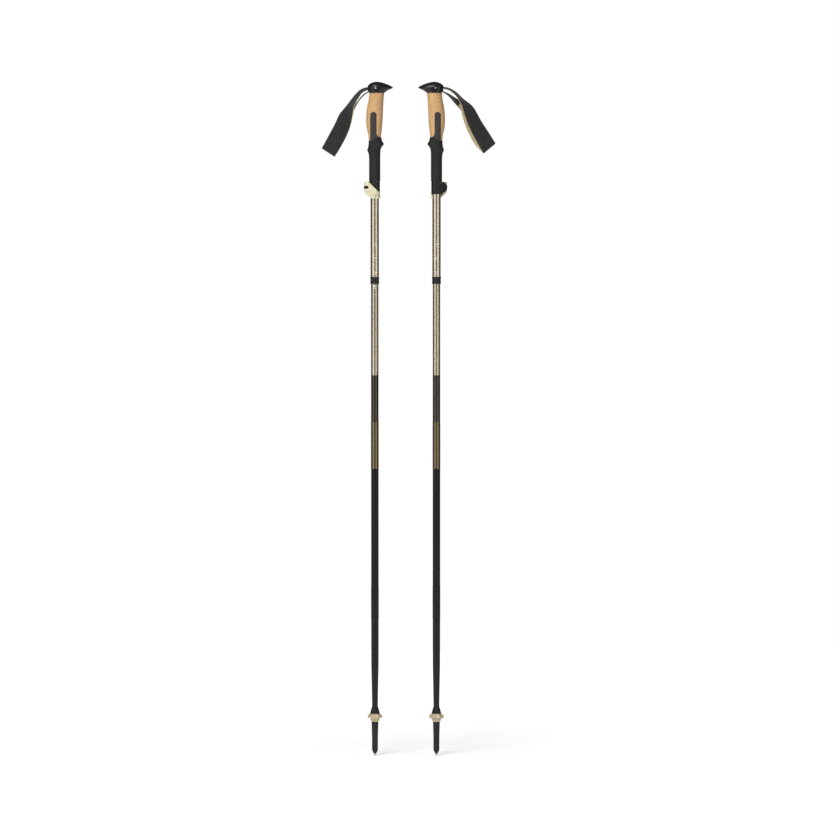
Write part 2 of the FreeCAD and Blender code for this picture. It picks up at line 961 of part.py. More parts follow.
    def lever(self):
        """A curved plate over the clamp with a knuckle round the barrel, a hooked tail under
        the clamp, and a slot that lets it swing past the screw."""
        face = self.padded(
            "lever_face",
            "XZ_Plane",
            [(str(x), str(z)) for x, z in LEVER_OUTLINE],
            "cutter_length",
            [(start, (str(x), str(z)), str(size)) for start, (x, z), size in LEVER_ROUNDS],
        )
        plate_outer = self.rod(
            "lever_plate_outer", "lever_inner_radius + lever_thickness", "cutter_length",
            z="clamp_bottom - cutter_margin",
        )
        front = self.block(
            "lever_front",
            ("lever_plate_start", "cutter_start", "clamp_bottom - lever_gap"),
            ("lever_reach", "lever_plate_edge", "clamp_top + lever_gap"),
        )
        plate = self.common("lever_plate", plate_outer, front)
        knuckle = self.rod(
            "lever_knuckle",
            "lever_knuckle_radius",
            "lever_top - lever_knuckle_bottom",
            "screw_x",
            "barrel_y",
            "lever_knuckle_bottom",
        )
        flat = self.padded(
            "lever_flat",
            "XY_Plane",
            [(str(x), str(y)) for x, y in LEVER_FLAT],
            "cutter_length",
        )
        put(flat, z="screw_height")
        hook_outer = self.rod(
            "lever_hook_round",
            "lever_hook_outer",
            "cutter_margin",
            z="clamp_bottom - cutter_margin - lever_gap",
        )
        hook_side = self.block(
            "lever_hook_side",
            ("lever_hook_start", "cutter_start", "clamp_bottom - cutter_margin - lever_gap"),
            ("cutter_length / 2", "lever_hook_edge", "clamp_bottom"),
        )
        hook = self.common("lever_hook", hook_outer, hook_side)
        solid = self.fuse("lever_solid", plate, flat, hook, knuckle)
        shaped = self.common("lever_shaped", solid, face)
        inner = self.rod(
            "lever_inner", "lever_inner_radius", "cutter_length", z="clamp_bottom - lever_gap"
        )
        hook_inner = self.rod(
            "lever_hook_inner_round",
            "lever_hook_inner",
            "cutter_length",
            z="clamp_bottom - cutter_margin",
        )
        pivot = self.rod(
            "lever_bore",
            "lever_bore_radius",
            "cutter_length",
            "screw_x",
            "barrel_y",
            "clamp_bottom - cutter_margin",
        )
        slot = self.block(
            "lever_slot",
            ("0 - cutter_length", "cutter_start", "screw_height - lever_slot_half_height"),
            ("lever_slot_end", "lever_slot_back", "screw_height + lever_slot_half_height"),
        )
        slot_round = self.rod(
            "lever_slot_round",
            "lever_slot_half_height",
            "cutter_length",
            "lever_slot_end",
            "cutter_start",
            "screw_height",
            along="y",
        )
        lever = self.cut("clamp_lever", shaped, inner, hook_inner, pivot, slot, slot_round)
        self.keep("clamp_lever", lever)

    def build(self):
        self.tip()
        self.shafts()
        self.cord_parts()
        self.button()
        self.upper()
        self.grip()
        self.head()
        self.strap()
        self.clamp()

    def stand(self):
        """Put the finished pole at its place in the pair."""
        turn = FreeCAD.Rotation(FreeCAD.Vector(0, 0, 1), self.turn)
        shift = FreeCAD.Vector(self.direction * SIZES["pole_offset"], 0, 0)
        return FreeCAD.Placement(shift, turn)


def failures(things):
    """Objects that FreeCAD could not recompute."""
    return [
        thing.Name for thing in things if {"Invalid", "Error"} & set(thing.State)
    ]


def main():
    poles = [Pole(*facts) for facts in POLES]
    for pole in poles:
        pole.build()
    doc.recompute()
    broken = failures(doc.Objects)
    if broken:
        raise RuntimeError(f"not computed: {broken}")
    os.makedirs("parts", exist_ok=True)
    for pole in poles:
        place = pole.stand()
        for name, piece in pole.pieces.items():
            shape = piece.Shape.copy()
            if shape.isNull() or not shape.isValid() or len(shape.Solids) != 1:
                raise RuntimeError(f"{name} is not one valid solid: {len(shape.Solids)}")
            shape.Placement = place.multiply(shape.Placement)
            shape.exportStep(f"parts/{name}.step")
            print(f"{name:24s} {shape.Volume:10.1f} mm3")


main()
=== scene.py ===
from math import atan2, copysign, cos, exp, hypot, pi, radians, sin, sqrt

import bmesh
import bpy
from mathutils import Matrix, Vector


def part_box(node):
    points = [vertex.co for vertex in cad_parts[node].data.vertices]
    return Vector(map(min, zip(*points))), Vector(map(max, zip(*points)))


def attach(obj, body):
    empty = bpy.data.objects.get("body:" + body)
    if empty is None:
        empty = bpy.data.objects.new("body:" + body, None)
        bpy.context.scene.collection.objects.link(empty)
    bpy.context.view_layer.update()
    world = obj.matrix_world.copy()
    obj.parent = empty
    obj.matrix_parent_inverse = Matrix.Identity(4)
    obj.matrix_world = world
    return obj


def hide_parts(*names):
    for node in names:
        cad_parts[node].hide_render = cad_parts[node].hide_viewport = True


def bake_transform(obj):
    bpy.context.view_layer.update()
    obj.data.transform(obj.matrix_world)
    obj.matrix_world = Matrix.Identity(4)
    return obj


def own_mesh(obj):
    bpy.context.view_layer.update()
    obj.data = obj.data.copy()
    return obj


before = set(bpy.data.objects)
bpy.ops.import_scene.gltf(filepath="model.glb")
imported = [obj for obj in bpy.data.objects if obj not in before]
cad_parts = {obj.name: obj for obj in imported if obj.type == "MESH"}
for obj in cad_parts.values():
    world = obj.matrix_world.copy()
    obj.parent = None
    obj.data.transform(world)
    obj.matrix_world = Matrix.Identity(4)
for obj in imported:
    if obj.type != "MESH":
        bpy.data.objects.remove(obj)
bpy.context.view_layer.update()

MM = 0.001
SIDES = {"left": 1.0, "right": -1.0}


# ---------------------------------------------------------------- camera, floor and light

CAMERA_DISTANCE = 8.6
CAMERA_ELEVATION = radians(3.0)
FRAME_WIDTH = 1.556
AIM = Vector((0.0266, 0.0, 0.6248))
SENSOR = 36.0


def camera():
    """A long lens, a little above level."""
    data = bpy.data.cameras.new("camera")
    data.sensor_width = SENSOR
    data.lens = SENSOR * CAMERA_DISTANCE / FRAME_WIDTH
    data.clip_end = 80.0
    thing = bpy.data.objects.new("camera", data)
    bpy.context.collection.objects.link(thing)
    back = Vector((0.0, -cos(CAMERA_ELEVATION), sin(CAMERA_ELEVATION)))
    thing.location = AIM + back * CAMERA_DISTANCE
    thing.rotation_euler = (pi / 2 - CAMERA_ELEVATION, 0.0, 0.0)
    bpy.context.scene.camera = thing


# each light's side (0 is the camera's), distance, height, width, tallness and watts
LIGHTS = {
    "left_box": (-46.0, 2.6, 1.0, 1.1, 2.6, 17.0),
    "right_box": (44.0, 2.6, 1.0, 1.0, 2.6, 15.0),
    "key": (-24.0, 2.2, 2.9, 1.3, 1.0, 62.0),
}
LIGHT_AIM = 0.7


def soft_light(name, azimuth, distance, middle, width, height, power):
    """A soft light that faces the middle of the poles."""
    data = bpy.data.lights.new(name, "AREA")
    data.shape = "RECTANGLE"
    data.size = width
    data.size_y = height
    data.energy = power
    thing = bpy.data.objects.new(name, data)
    bpy.context.collection.objects.link(thing)
    angle = radians(azimuth)
    thing.location = (distance * sin(angle), -distance * cos(angle), middle)
    aim = Vector((0.0, 0.0, LIGHT_AIM)) - thing.location
    thing.rotation_euler = aim.to_track_quat("-Z", "Y").to_euler()


def ramp_node(nodes, stops):
    """A colour ramp of grey levels or colours."""
    node = nodes.new("ShaderNodeValToRGB")
    points = node.color_ramp.elements
    points[0].position, points[1].position = stops[0][0], stops[-1][0]
    for place, _ in stops[1:-1]:
        points.new(place)
    for point, (_, value) in zip(points, stops):
        colour = (value, value, value) if isinstance(value, (int, float)) else value
        point.color = (*colour[:3], 1.0)
    return node


# how bright the studio is seen from the poles, from behind them (0) round to the camera (1)
ROOM_LEVELS = ((0.0, 0.9), (0.12, 0.6), (0.37, 0.8), (0.63, 0.9), (0.86, 1.0), (1.0, 1.0))
# and from level (0.5) up to straight overhead (1)
CEILING_LEVELS = ((0.5, 0.0), (0.62, 0.2), (1.0, 0.9))


def studio():
    """An even white room for the camera, darker at the sides for what the poles mirror."""
    scene = bpy.context.scene
    scene.view_settings.view_transform = "Standard"
    scene.view_settings.look = "None"
    world = bpy.data.worlds.new("studio")
    scene.world = world
    world.use_nodes = True
    nodes, links = world.node_tree.nodes, world.node_tree.links
    room = nodes["Background"]
    backdrop = nodes.new("ShaderNodeBackground")
    backdrop.inputs["Color"].default_value = (1.0, 1.0, 1.0, 1.0)
    backdrop.inputs["Strength"].default_value = 1.0
    way = nodes.new("ShaderNodeTexCoord")
    split = nodes.new("ShaderNodeSeparateXYZ")
    links.new(way.outputs["Generated"], split.inputs[0])
    levels = []
    for axis, sign, stops in ((1, -0.5, ROOM_LEVELS), (2, 0.5, CEILING_LEVELS)):
        share = nodes.new("ShaderNodeMath")
        share.operation = "MULTIPLY_ADD"
        share.inputs[1].default_value = sign
        share.inputs[2].default_value = 0.5
        links.new(split.outputs[axis], share.inputs[0])
        ramp = ramp_node(nodes, stops)
        links.new(share.outputs[0], ramp.inputs[0])
        levels.append(ramp.outputs[0])
    total = nodes.new("ShaderNodeMath")
    total.operation = "ADD"
    for index, level in enumerate(levels):
        links.new(level, total.inputs[index])
    links.new(total.outputs[0], room.inputs["Strength"])
    rays = nodes.new("ShaderNodeLightPath")
    chosen = nodes.new("ShaderNodeMixShader")
    links.new(rays.outputs["Is Camera Ray"], chosen.inputs[0])
    links.new(room.outputs[0], chosen.inputs[1])
    links.new(backdrop.outputs[0], chosen.inputs[2])
    links.new(chosen.outputs[0], nodes["World Output"].inputs["Surface"])
    for name, numbers in LIGHTS.items():
        soft_light(name, *numbers)


FLOOR_REACH = 1.9
# how far the floor glows by itself, by share of its reach: least where the poles' shadows fall
FLOOR_GLOW = ((0.1, 0.57), (0.7, 0.95))


def floor():
    """A pale floor, so evenly lit that it runs into the white behind it."""
    mesh = bpy.data.meshes.new("floor")
    signs = ((-1, -1), (1, -1), (1, 1), (-1, 1))
    corners = [(x * FLOOR_REACH, y * FLOOR_REACH, 0.0) for x, y in signs]
    mesh.from_pydata(corners, [], [(0, 1, 2, 3)])
    thing = bpy.data.objects.new("floor", mesh)
    bpy.context.collection.objects.link(thing)
    paint = bpy.data.materials.new("floor")
    paint.use_nodes = True
    shader = paint.node_tree.nodes["Principled BSDF"]
    shader.inputs["Base Color"].default_value = (0.8, 0.8, 0.8, 1.0)
    shader.inputs["Roughness"].default_value = 1.0
    shader.inputs["Specular IOR Level"].default_value = 0.0
    shader.inputs["Emission Color"].default_value = (1.0, 1.0, 1.0, 1.0)
    nodes, links = paint.node_tree.nodes, paint.node_tree.links
    place = nodes.new("ShaderNodeTexCoord")
    distance = nodes.new("ShaderNodeVectorMath")
    distance.operation = "LENGTH"
    links.new(place.outputs["Object"], distance.inputs[0])
    glow = ramp_node(nodes, FLOOR_GLOW)
    share = nodes.new("ShaderNodeMath")
    share.operation = "DIVIDE"
    share.inputs[1].default_value = FLOOR_REACH
    links.new(distance.outputs["Value"], share.inputs[0])
    links.new(share.outputs[0], glow.inputs[0])
    links.new(glow.outputs[0], shader.inputs["Emission Strength"])
    mesh.materials.append(paint)


# ---------------------------------------------------------------- materials


class Paint:
    """A Principled material. Its patterns are made by nodes in the object's own metres."""

    def __init__(self, name, colour, roughness, metallic=0.0, **sockets):
        self.name = name
        self.data = bpy.data.materials.new(name)
        self.data.use_nodes = True
        self.nodes = self.data.node_tree.nodes
        self.links = self.data.node_tree.links
        self.shader = self.nodes["Principled BSDF"]
        self.set("Base Color", (*colour, 1.0))
        self.set("Roughness", roughness)
        self.set("Metallic", metallic)
        for socket, value in sockets.items():
            self.set(socket.replace("_", " "), value)
        self.place = self.nodes.new("ShaderNodeTexCoord")

    def set(self, socket, value):
        self.shader.inputs[socket].default_value = value

    def feed(self, socket, source):
        self.links.new(source, self.shader.inputs[socket])

    def mapped(self, stretch):
        """Coordinates stretched by three factors."""
        node = self.nodes.new("ShaderNodeMapping")
        node.inputs["Scale"].default_value = stretch
        self.links.new(self.place.outputs["Object"], node.inputs["Vector"])
        return node.outputs[0]

    def noise(self, grain, stretch=(1.0, 1.0, 1.0), detail=3.0):
        """Noise whose blobs are about grain metres across."""
        node = self.nodes.new("ShaderNodeTexNoise")
        node.inputs["Scale"].default_value = 1.0 / grain
        node.inputs["Detail"].default_value = detail
        self.links.new(self.mapped(stretch), node.inputs["Vector"])
        return node.outputs["Fac"]

    def cells(self, grain, stretch=(1.0, 1.0, 1.0), output="Color"):
        """Voronoi cells about grain metres across."""
        node = self.nodes.new("ShaderNodeTexVoronoi")
        node.inputs["Scale"].default_value = 1.0 / grain
        self.links.new(self.mapped(stretch), node.inputs["Vector"])
        return node.outputs[output]

    def ramp(self, source, *stops):
        node = ramp_node(self.nodes, stops)
        self.links.new(source, node.inputs[0])
        return node.outputs[0]

    def mix(self, share, first, second):
        """Two colours, each a socket or three numbers."""
        node = self.nodes.new("ShaderNodeMix")
        node.data_type = "RGBA"
        self.links.new(share, node.inputs[0])
        for index, colour in ((6, first), (7, second)):
            if isinstance(colour, tuple):
                node.inputs[index].default_value = (*colour, 1.0)
            else:
                self.links.new(colour, node.inputs[index])
        return node.outputs[2]

    def sum(self, operation, first, second):
        node = self.nodes.new("ShaderNodeMath")
        node.operation = operation
        for index, value in enumerate((first, second)):
            if isinstance(value, (int, float)):
                node.inputs[index].default_value = value
            else:
                self.links.new(value, node.inputs[index])
        return node.outputs[0]

    def axis(self, index, space="Object"):
        node = self.nodes.new("ShaderNodeSeparateXYZ")
        self.links.new(self.place.outputs[space], node.inputs[0])
        return node.outputs[index]

    def wave(self, source, period):
        """A sine along a coordinate, from 0 to 1."""
        turns = self.sum("MULTIPLY", source, 2.0 * pi / period)
        node = self.nodes.new("ShaderNodeMath")
        node.operation = "SINE"
        self.links.new(turns, node.inputs[0])
        half = self.sum("MULTIPLY", node.outputs[0], 0.5)
        return self.sum("ADD", half, 0.5)

    def bump(self, height, depth, strength=1.0):
        """Relief of about depth metres."""
        node = self.nodes.new("ShaderNodeBump")
        node.inputs["Strength"].default_value = strength
        node.inputs["Distance"].default_value = depth
        self.links.new(height, node.inputs["Height"])
        self.feed("Normal", node.outputs[0])

    def rough(self, source, low, high):
        """Roughness that follows a pattern between two values."""
        node = self.nodes.new("ShaderNodeMapRange")
        node.inputs["To Min"].default_value = low
        node.inputs["To Max"].default_value = high
        self.links.new(source, node.inputs["Value"])
        self.feed("Roughness", node.outputs[0])


def cork_paint():
    """Pressed cork: pale granules, darker veins between them and small flat pores."""
    paint = Paint("cork", (0.62, 0.395, 0.185), 0.72, Specular_IOR_Level=0.3)
    grains = paint.cells(0.0017, (1.0, 1.0, 1.4))
    tone = paint.ramp(grains, (0.0, (0.50, 0.29, 0.12)), (0.45, (0.64, 0.395, 0.18)),
                      (1.0, (0.74, 0.49, 0.25)))
    veins = paint.cells(0.0017, (1.0, 1.0, 1.4), "Distance")
    veined = paint.mix(paint.ramp(veins, (0.45, 0.0), (0.85, 0.65)), tone, (0.40, 0.24, 0.11))
    pores = paint.noise(0.0011, (1.0, 1.0, 2.4), 2.0)
    dark = paint.ramp(pores, (0.62, 0.0), (0.70, 0.75))
    spotted = paint.mix(dark, veined, (0.23, 0.125, 0.055))
    drift = paint.noise(0.02, detail=2.0)
    shade = paint.ramp(drift, (0.3, 0.0), (0.75, 0.28))
    paint.feed("Base Color", paint.mix(shade, spotted, (0.47, 0.28, 0.13)))
    relief = paint.sum("SUBTRACT", paint.noise(0.0008), paint.sum("MULTIPLY", dark, 1.6))
    paint.bump(relief, 0.00012, 0.8)
    paint.rough(pores, 0.62, 0.85)
    return paint


def foam_paint(name, colour):
    """Closed-cell foam: matte, with a skin of tiny bubbles."""
    paint = Paint(name, colour, 0.78, Specular_IOR_Level=0.35)
    bubbles = paint.cells(0.0005, output="Distance")
    mottle = paint.noise(0.004)
    lighter = tuple(level * 1.5 for level in colour)
    paint.feed("Base Color", paint.mix(paint.ramp(mottle, (0.35, 0.0), (0.7, 0.6)), colour, lighter))
    paint.bump(paint.sum("ADD", bubbles, mottle), 0.00007, 0.7)
    paint.rough(mottle, 0.66, 0.86)
    return paint


def plastic_paint(name, colour, low, high):
    """Moulded nylon with a fine spark-eroded grain."""
    paint = Paint(name, colour, (low + high) / 2, Specular_IOR_Level=0.28)
    texture = paint.noise(0.0006, detail=2.0)
    drift = paint.noise(0.012)
    lighter = tuple(min(1.0, level * 1.18 + 0.003) for level in colour)
    paint.feed("Base Color", paint.mix(paint.ramp(drift, (0.3, 0.0), (0.7, 1.0)), colour, lighter))
    paint.bump(texture, 0.00003, 0.8)
    paint.rough(drift, low, high)
    return paint


def pale_paint(name, colour):
    """Pale nylon, a little darker and glossier where it is handled."""
    paint = Paint(name, colour, 0.45, Subsurface_Weight=0.05)
    worn = tuple(level * 0.88 for level in colour)
    clean = tuple(min(1.0, level * 1.07) for level in colour)
    drift = paint.noise(0.006, detail=4.0)
    tone = paint.ramp(drift, (0.3, worn), (0.5, colour), (0.75, clean))
    specks = paint.noise(0.0007, detail=1.0)
    dirt = paint.ramp(specks, (0.66, 0.0), (0.74, 0.4))
    grime = tuple(level * 0.64 for level in colour)
    paint.feed("Base Color", paint.mix(dirt, tone, grime))
    paint.bump(paint.noise(0.0005), 0.00003, 0.8)
    paint.rough(drift, 0.36, 0.52)
    return paint


CHAMPAGNE = (0.80, 0.70, 0.53)
CHAMPAGNE_DEEP = (0.70, 0.60, 0.44)
# the dark band at the sliding shaft's lower end
BAND_LENGTH = 85.5


def metal_paint(name, colour, low=0.30, high=0.36, drawn=True, metallic=1.0, **sockets):
    """Drawn and anodised tube: fine lines along its length and a slight drift of tone."""
    paint = Paint(name, colour, (low + high) / 2, metallic, **sockets)
    lines = paint.noise(0.0005, (1.0, 1.0, 0.004), 2.0) if drawn else paint.noise(0.0004)
    drift = paint.noise(0.05, (1.0, 1.0, 0.5))
    darker = tuple(level * 0.93 for level in colour)
    share = paint.ramp(paint.sum("ADD", paint.sum("MULTIPLY", lines, 0.5),
                                 paint.sum("MULTIPLY", drift, 0.5)), (0.35, 0.0), (0.65, 1.0))
    paint.feed("Base Color", paint.mix(share, darker, colour))
    paint.bump(lines, 0.0000008, 0.4)
    paint.rough(lines, low, high)
    return paint


def banded_paint(bottom):
    """The sliding shaft: champagne, with a dark brown band up from its lower end."""
    paint = metal_paint("banded_shaft", CHAMPAGNE_DEEP)
    top = bottom + BAND_LENGTH * MM
    height = paint.axis(2)
    below = paint.sum("LESS_THAN", height, top)
    edge = paint.sum("COMPARE", height, top)
    edge.node.inputs[2].default_value = 0.0006
    metal = paint.shader.inputs["Base Color"].links[0].from_socket
    dark = paint.mix(below, metal, (0.105, 0.088, 0.072))
    paint.feed("Base Color", paint.mix(edge, dark, (0.03, 0.025, 0.02)))
    return paint


def webbing_paint(name, colour, lighter, pitch=0.0011):
    """Woven tape: yarns across and along, over a strap's own width and length."""
    paint = Paint(name, colour, 0.85, Specular_IOR_Level=0.25)
    paint.set("Sheen Weight", 0.25)
    paint.set("Sheen Roughness", 0.5)
    across = paint.axis(0, "UV")
    along = paint.axis(1, "UV")
    shifted = paint.sum("ADD", along, paint.sum("MULTIPLY", across, 0.5))
    weave = paint.sum("MULTIPLY", paint.wave(across, pitch), paint.wave(shifted, pitch * 0.62))
    fuzz = paint.noise(0.0004)
    worn = paint.noise(0.012)
    tone = paint.sum("MULTIPLY", paint.sum("ADD", weave, paint.sum("MULTIPLY", fuzz, 0.6)), worn)
    paint.feed("Base Color", paint.mix(paint.ramp(tone, (0.1, 0.0), (0.7, 1.0)), colour, lighter))
    paint.bump(paint.sum("ADD", weave, paint.sum("MULTIPLY", fuzz, 0.3)), 0.00022, 0.9)
    return paint


def paints():
    """Every material by its name."""
    shaft_low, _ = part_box("left_fold_shaft")
    made = (
        cork_paint(),
        foam_paint("black_foam", (0.0115, 0.0115, 0.012)),
        foam_paint("tongue", (0.036, 0.033, 0.031)),
        plastic_paint("black_plastic", (0.011, 0.011, 0.0115), 0.26, 0.36),
        plastic_paint("clamp_plastic", (0.013, 0.013, 0.0135), 0.36, 0.48),
        plastic_paint("tip_plastic", (0.011, 0.011, 0.0115), 0.44, 0.56),
        pale_paint("cream_plastic", (0.72, 0.65, 0.46)),
        pale_paint("tan_plastic", (0.55, 0.46, 0.30)),
        metal_paint("champagne_tube", CHAMPAGNE),
        banded_paint(shaft_low.z),
        metal_paint("bronze_tube", (0.235, 0.185, 0.105)),
        metal_paint("black_shaft", (0.008, 0.008, 0.0085), 0.28, 0.36,
                    metallic=0.0, Specular_IOR_Level=0.25),
        metal_paint("dark_steel", (0.12, 0.12, 0.125), drawn=False),
        metal_paint("bright_steel", (0.75, 0.75, 0.73), drawn=False),
        # the strap pin's steel is painted pale and only a quarter metallic: a painted highlight for
        # the bright dot at the pin's end
        metal_paint("pin_steel_painted_highlight", (0.85, 0.85, 0.83), 0.35, 0.5, drawn=False, metallic=0.25),
        metal_paint("carbide", (0.42, 0.42, 0.43), 0.3, 0.45, drawn=False),
        webbing_paint("black_webbing", (0.012, 0.012, 0.0125), (0.034, 0.034, 0.035)),
        webbing_paint("khaki_lining", (0.47, 0.38, 0.20), (0.68, 0.58, 0.37), 0.0008),
        webbing_paint("thread", (0.03, 0.03, 0.032), (0.09, 0.09, 0.095), 0.0005),
        webbing_paint("cord_sheath", (0.05, 0.05, 0.055), (0.25, 0.25, 0.26), 0.0009),
        plastic_paint("print", (0.62, 0.60, 0.55), 0.45, 0.55),
    )
    return {paint.name: paint.data for paint in made}


# ---------------------------------------------------------------- shapes


class Pole:
    """One side of the pair: its own frame in the shared one."""

    def __init__(self, side, paints):
        self.side = side
        self.paints = paints
        self.turn = SIDES[side]
        low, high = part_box(f"{side}_tip_point")
        self.foot = Vector(((low.x + high.x) / 2, (low.y + high.y) / 2, 0.0))

    def at(self, x, y, z):
        """A point of the pole's own frame in the shared frame, in metres."""
        return self.foot + Vector((self.turn * x, self.turn * y, z)) * MM

    def name(self, word):
        return f"{self.side}_{word}"

    def span(self, word):
        """The lowest and highest point of a node, in millimetres."""
        low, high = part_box(self.name(word))
        return low.z / MM, high.z / MM

    def radius(self, word):
        """Half the width of a round node, in millimetres."""
        low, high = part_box(self.name(word))
        return (high.x - low.x) / 2 / MM

    def fit(self, piece, slot, body, node=None):
        """Gives a piece its body and hides the CAD node it stands for; the slot is not used."""
        if node:
            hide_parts(self.name(node))
        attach(piece, self.name(body))

    def solid(self, word, points, faces, paint, crease=35.0, marks=None):
        """A mesh object through points of the pole's own frame; marks are its UVs by point."""
        mesh = bpy.data.meshes.new(self.name(word))
        mesh.from_pydata([self.at(*point) for point in points], [], faces)
        mesh.materials.append(self.paints[paint])
        if marks:
            layer = mesh.uv_layers.new(name="weave")
            for loop in mesh.loops:
                layer.data[loop.index].uv = marks[loop.vertex_index]
        mesh.shade_smooth()
        mesh.set_sharp_from_angle(angle=radians(crease))
        thing = bpy.data.objects.new(self.name(word), mesh)
        bpy.context.collection.objects.link(thing)
        return thing


def turns(count):
    """Angles once round."""
    return [2 * pi * index / count for index in range(count)]


def skin(rings, capped=True):
    """Points and faces of a skin over rings with the same number of points."""
    count = len(rings[0])
    points = [point for ring in rings for point in ring]
    faces = []
    for row in range(len(rings) - 1):
        for index in range(count):
            after = (index + 1) % count
            a, b = row * count + index, row * count + after
            faces.append((a, b, b + count, a + count))
    if capped:
        faces.append(tuple(range(count - 1, -1, -1)))
        faces.append(tuple(range(len(points) - count, len(points))))
    return points, faces


def sleeve(rings):
    """Points and faces of a skin that joins its last ring to its first."""
    points, faces = skin(rings, False)
    count = len(rings[0])
    last = len(points) - count
    for index in range(count):
        after = (index + 1) % count
        faces.append((last + index, last + after, after, index))
    return points, faces


def add_shape(points, faces, more_points, more_faces):
    """Adds a shape to the points and faces of others."""
    shift = len(points)
    points += more_points
    faces += [tuple(index + shift for index in face) for face in more_faces]


def smooth_rows(rows, steps):
    """Rows of numbers put through a Catmull-Rom curve, with steps new rows per gap."""
    result = []
    for index in range(len(rows) - 1):
        a = rows[max(0, index - 1)]
        b, c = rows[index], rows[index + 1]
        d = rows[min(len(rows) - 1, index + 2)]
        for step in range(steps):
            t = step / steps
            result.append(tuple(
                0.5 * (2 * q + (r - p) * t + (2 * p - 5 * q + 4 * r - s) * t * t
                       + (3 * q - p - 3 * r + s) * t ** 3)
                for p, q, r, s in zip(a, b, c, d)
            ))
    result.append(tuple(rows[-1]))
    return result


def lathe(profile, count=64):
    """Rings of a closed turned outline, given as radius and height pairs."""
    angles = turns(count)
    return [[(r * cos(a), r * sin(a), z) for a in angles] for r, z in profile]


def smoothstep(low, high, value):
    share = min(1.0, max(0.0, (value - low) / (high - low)))
    return share * share * (3.0 - 2.0 * share)


# ---------------------------------------------------------------- the grip

# height over the cork's lower end, centre, half length and half width
GRIP_SLICES = (
    (-32.0, 0.0, 10.0, 10.0),
    (-16.0, 0.0, 10.3, 10.2),
    (0.0, 0.2, 11.2, 10.9),
    (8.0, 0.1, 11.9, 11.5),
    (21.0, -0.6, 14.2, 13.1),
    (36.0, -0.5, 15.3, 13.9),
    (56.0, 0.6, 15.0, 13.6),
    (71.0, 2.4, 14.0, 13.2),
    (85.0, 4.0, 13.8, 13.2),
)
GRIP_TABLE = smooth_rows(GRIP_SLICES, 12)
RING = 96


def slice_at(lift):
    """The grip's centre, half length and half width at a height over the cork's lower end."""
    if lift <= GRIP_TABLE[0][0]:
        return GRIP_TABLE[0][1:]
    for low, high in zip(GRIP_TABLE, GRIP_TABLE[1:]):
        if low[0] <= lift <= high[0]:
            t = (lift - low[0]) / (high[0] - low[0])
            return tuple(a + (b - a) * t for a, b in zip(low[1:], high[1:]))
    return GRIP_TABLE[-1][1:]


# how far the cork reaches down inside the foam
CORK_INSIDE = 6.0
CORK_STEPS = 90


def cork_grip(pole):
    """The cork, a closed sleeve round the grip's tube, from inside the foam's rim up to the head."""
    low, high = pole.span("cork_grip")
    start = low - CORK_INSIDE
    tube = pole.radius("grip_tube")
    rings = lathe([(tube, high), (tube, start)], RING)
    for step in range(CORK_STEPS + 1):
        height = start + (high - start) * step / CORK_STEPS
        centre, half_length, half_width = slice_at(height - low)
        rings.append([
            (centre + half_length * cos(a), half_width * sin(a), height)
            for a in turns(RING)
        ])
    piece = pole.solid("cork", *sleeve(rings), "cork")
    pole.fit(piece, "cork", "grip", "cork_grip")


FOAM_PROUD = 0.35
FOAM_STEPS = 84
RIDGE_MIDDLE = 1129.5
RIDGE_SLANT = 5.5


def foam_radius(angle, height, cork_low):
    """The foam's radius, with its slanted finger ridge."""
    centre, half_length, half_width = slice_at(height - cork_low)
    c, s = cos(angle), sin(angle)
    base = 1.0 / sqrt((c / half_length) ** 2 + (s / half_width) ** 2) + centre * c
    away = height - (RIDGE_MIDDLE + RIDGE_SLANT * c)
    reach = 2.5 + 3.6 * max(0.0, c) ** 2 + 0.9 * max(0.0, -c) ** 2
    width = 6.2 if away > 0 else 5.6
    return base + FOAM_PROUD + reach * exp(-abs(away / width) ** 1.35)


def rim_height(angle, cork_low):
    """Where the foam ends against the cork: higher on the beak's side."""
    return cork_low - 3.0 + 6.0 * smoothstep(-0.45, 0.35, cos(angle))


def foam_handle(pole):
    """The foam's handle and ridge, a closed sleeve round the grip's tube."""
    low, _ = pole.span("foam_grip")
    cork_low, _ = pole.span("cork_grip")
    tube = pole.radius("grip_tube")
    angles = turns(RING)
    rings = []

    def ring(inset, heights):
        rings.append([
            ((foam_radius(a, z, cork_low) - inset) * cos(a),
             (foam_radius(a, z, cork_low) - inset) * sin(a), z)
            for a, z in zip(angles, heights)
        ])

    def bore(heights):
        rings.append([(tube * cos(a), tube * sin(a), z) for a, z in zip(angles, heights)])

    rims = [rim_height(a, cork_low) for a in angles]
    bore([low] * RING)
    for turn in (0.0, 0.5, 1.0):
        ring(1.0 - sin(turn * pi / 2), [low + 1.0 - cos(turn * pi / 2)] * RING)
    for step in range(1, FOAM_STEPS + 1):
        ring(0.0, [low + 1.0 + (rim - low - 1.0) * step / FOAM_STEPS for rim in rims])
    ring(0.12, [rim + 0.3 for rim in rims])
    ring(0.5, [rim + 0.5 for rim in rims])
    bore([rim - 2.0 for rim in rims])
    piece = pole.solid("foam", *sleeve(rings), "black_foam")
    pole.fit(piece, "black_foam", "grip", "foam_grip")


TONGUE_LEFT, TONGUE_RIGHT = -8.2, 3.8
TONGUE_TOP = 1194.4
TONGUE_FLARE = 8.5
TONGUE_COLUMNS = 41
TONGUE_STEPS, TONGUE_ROUND_STEPS = 90, 24


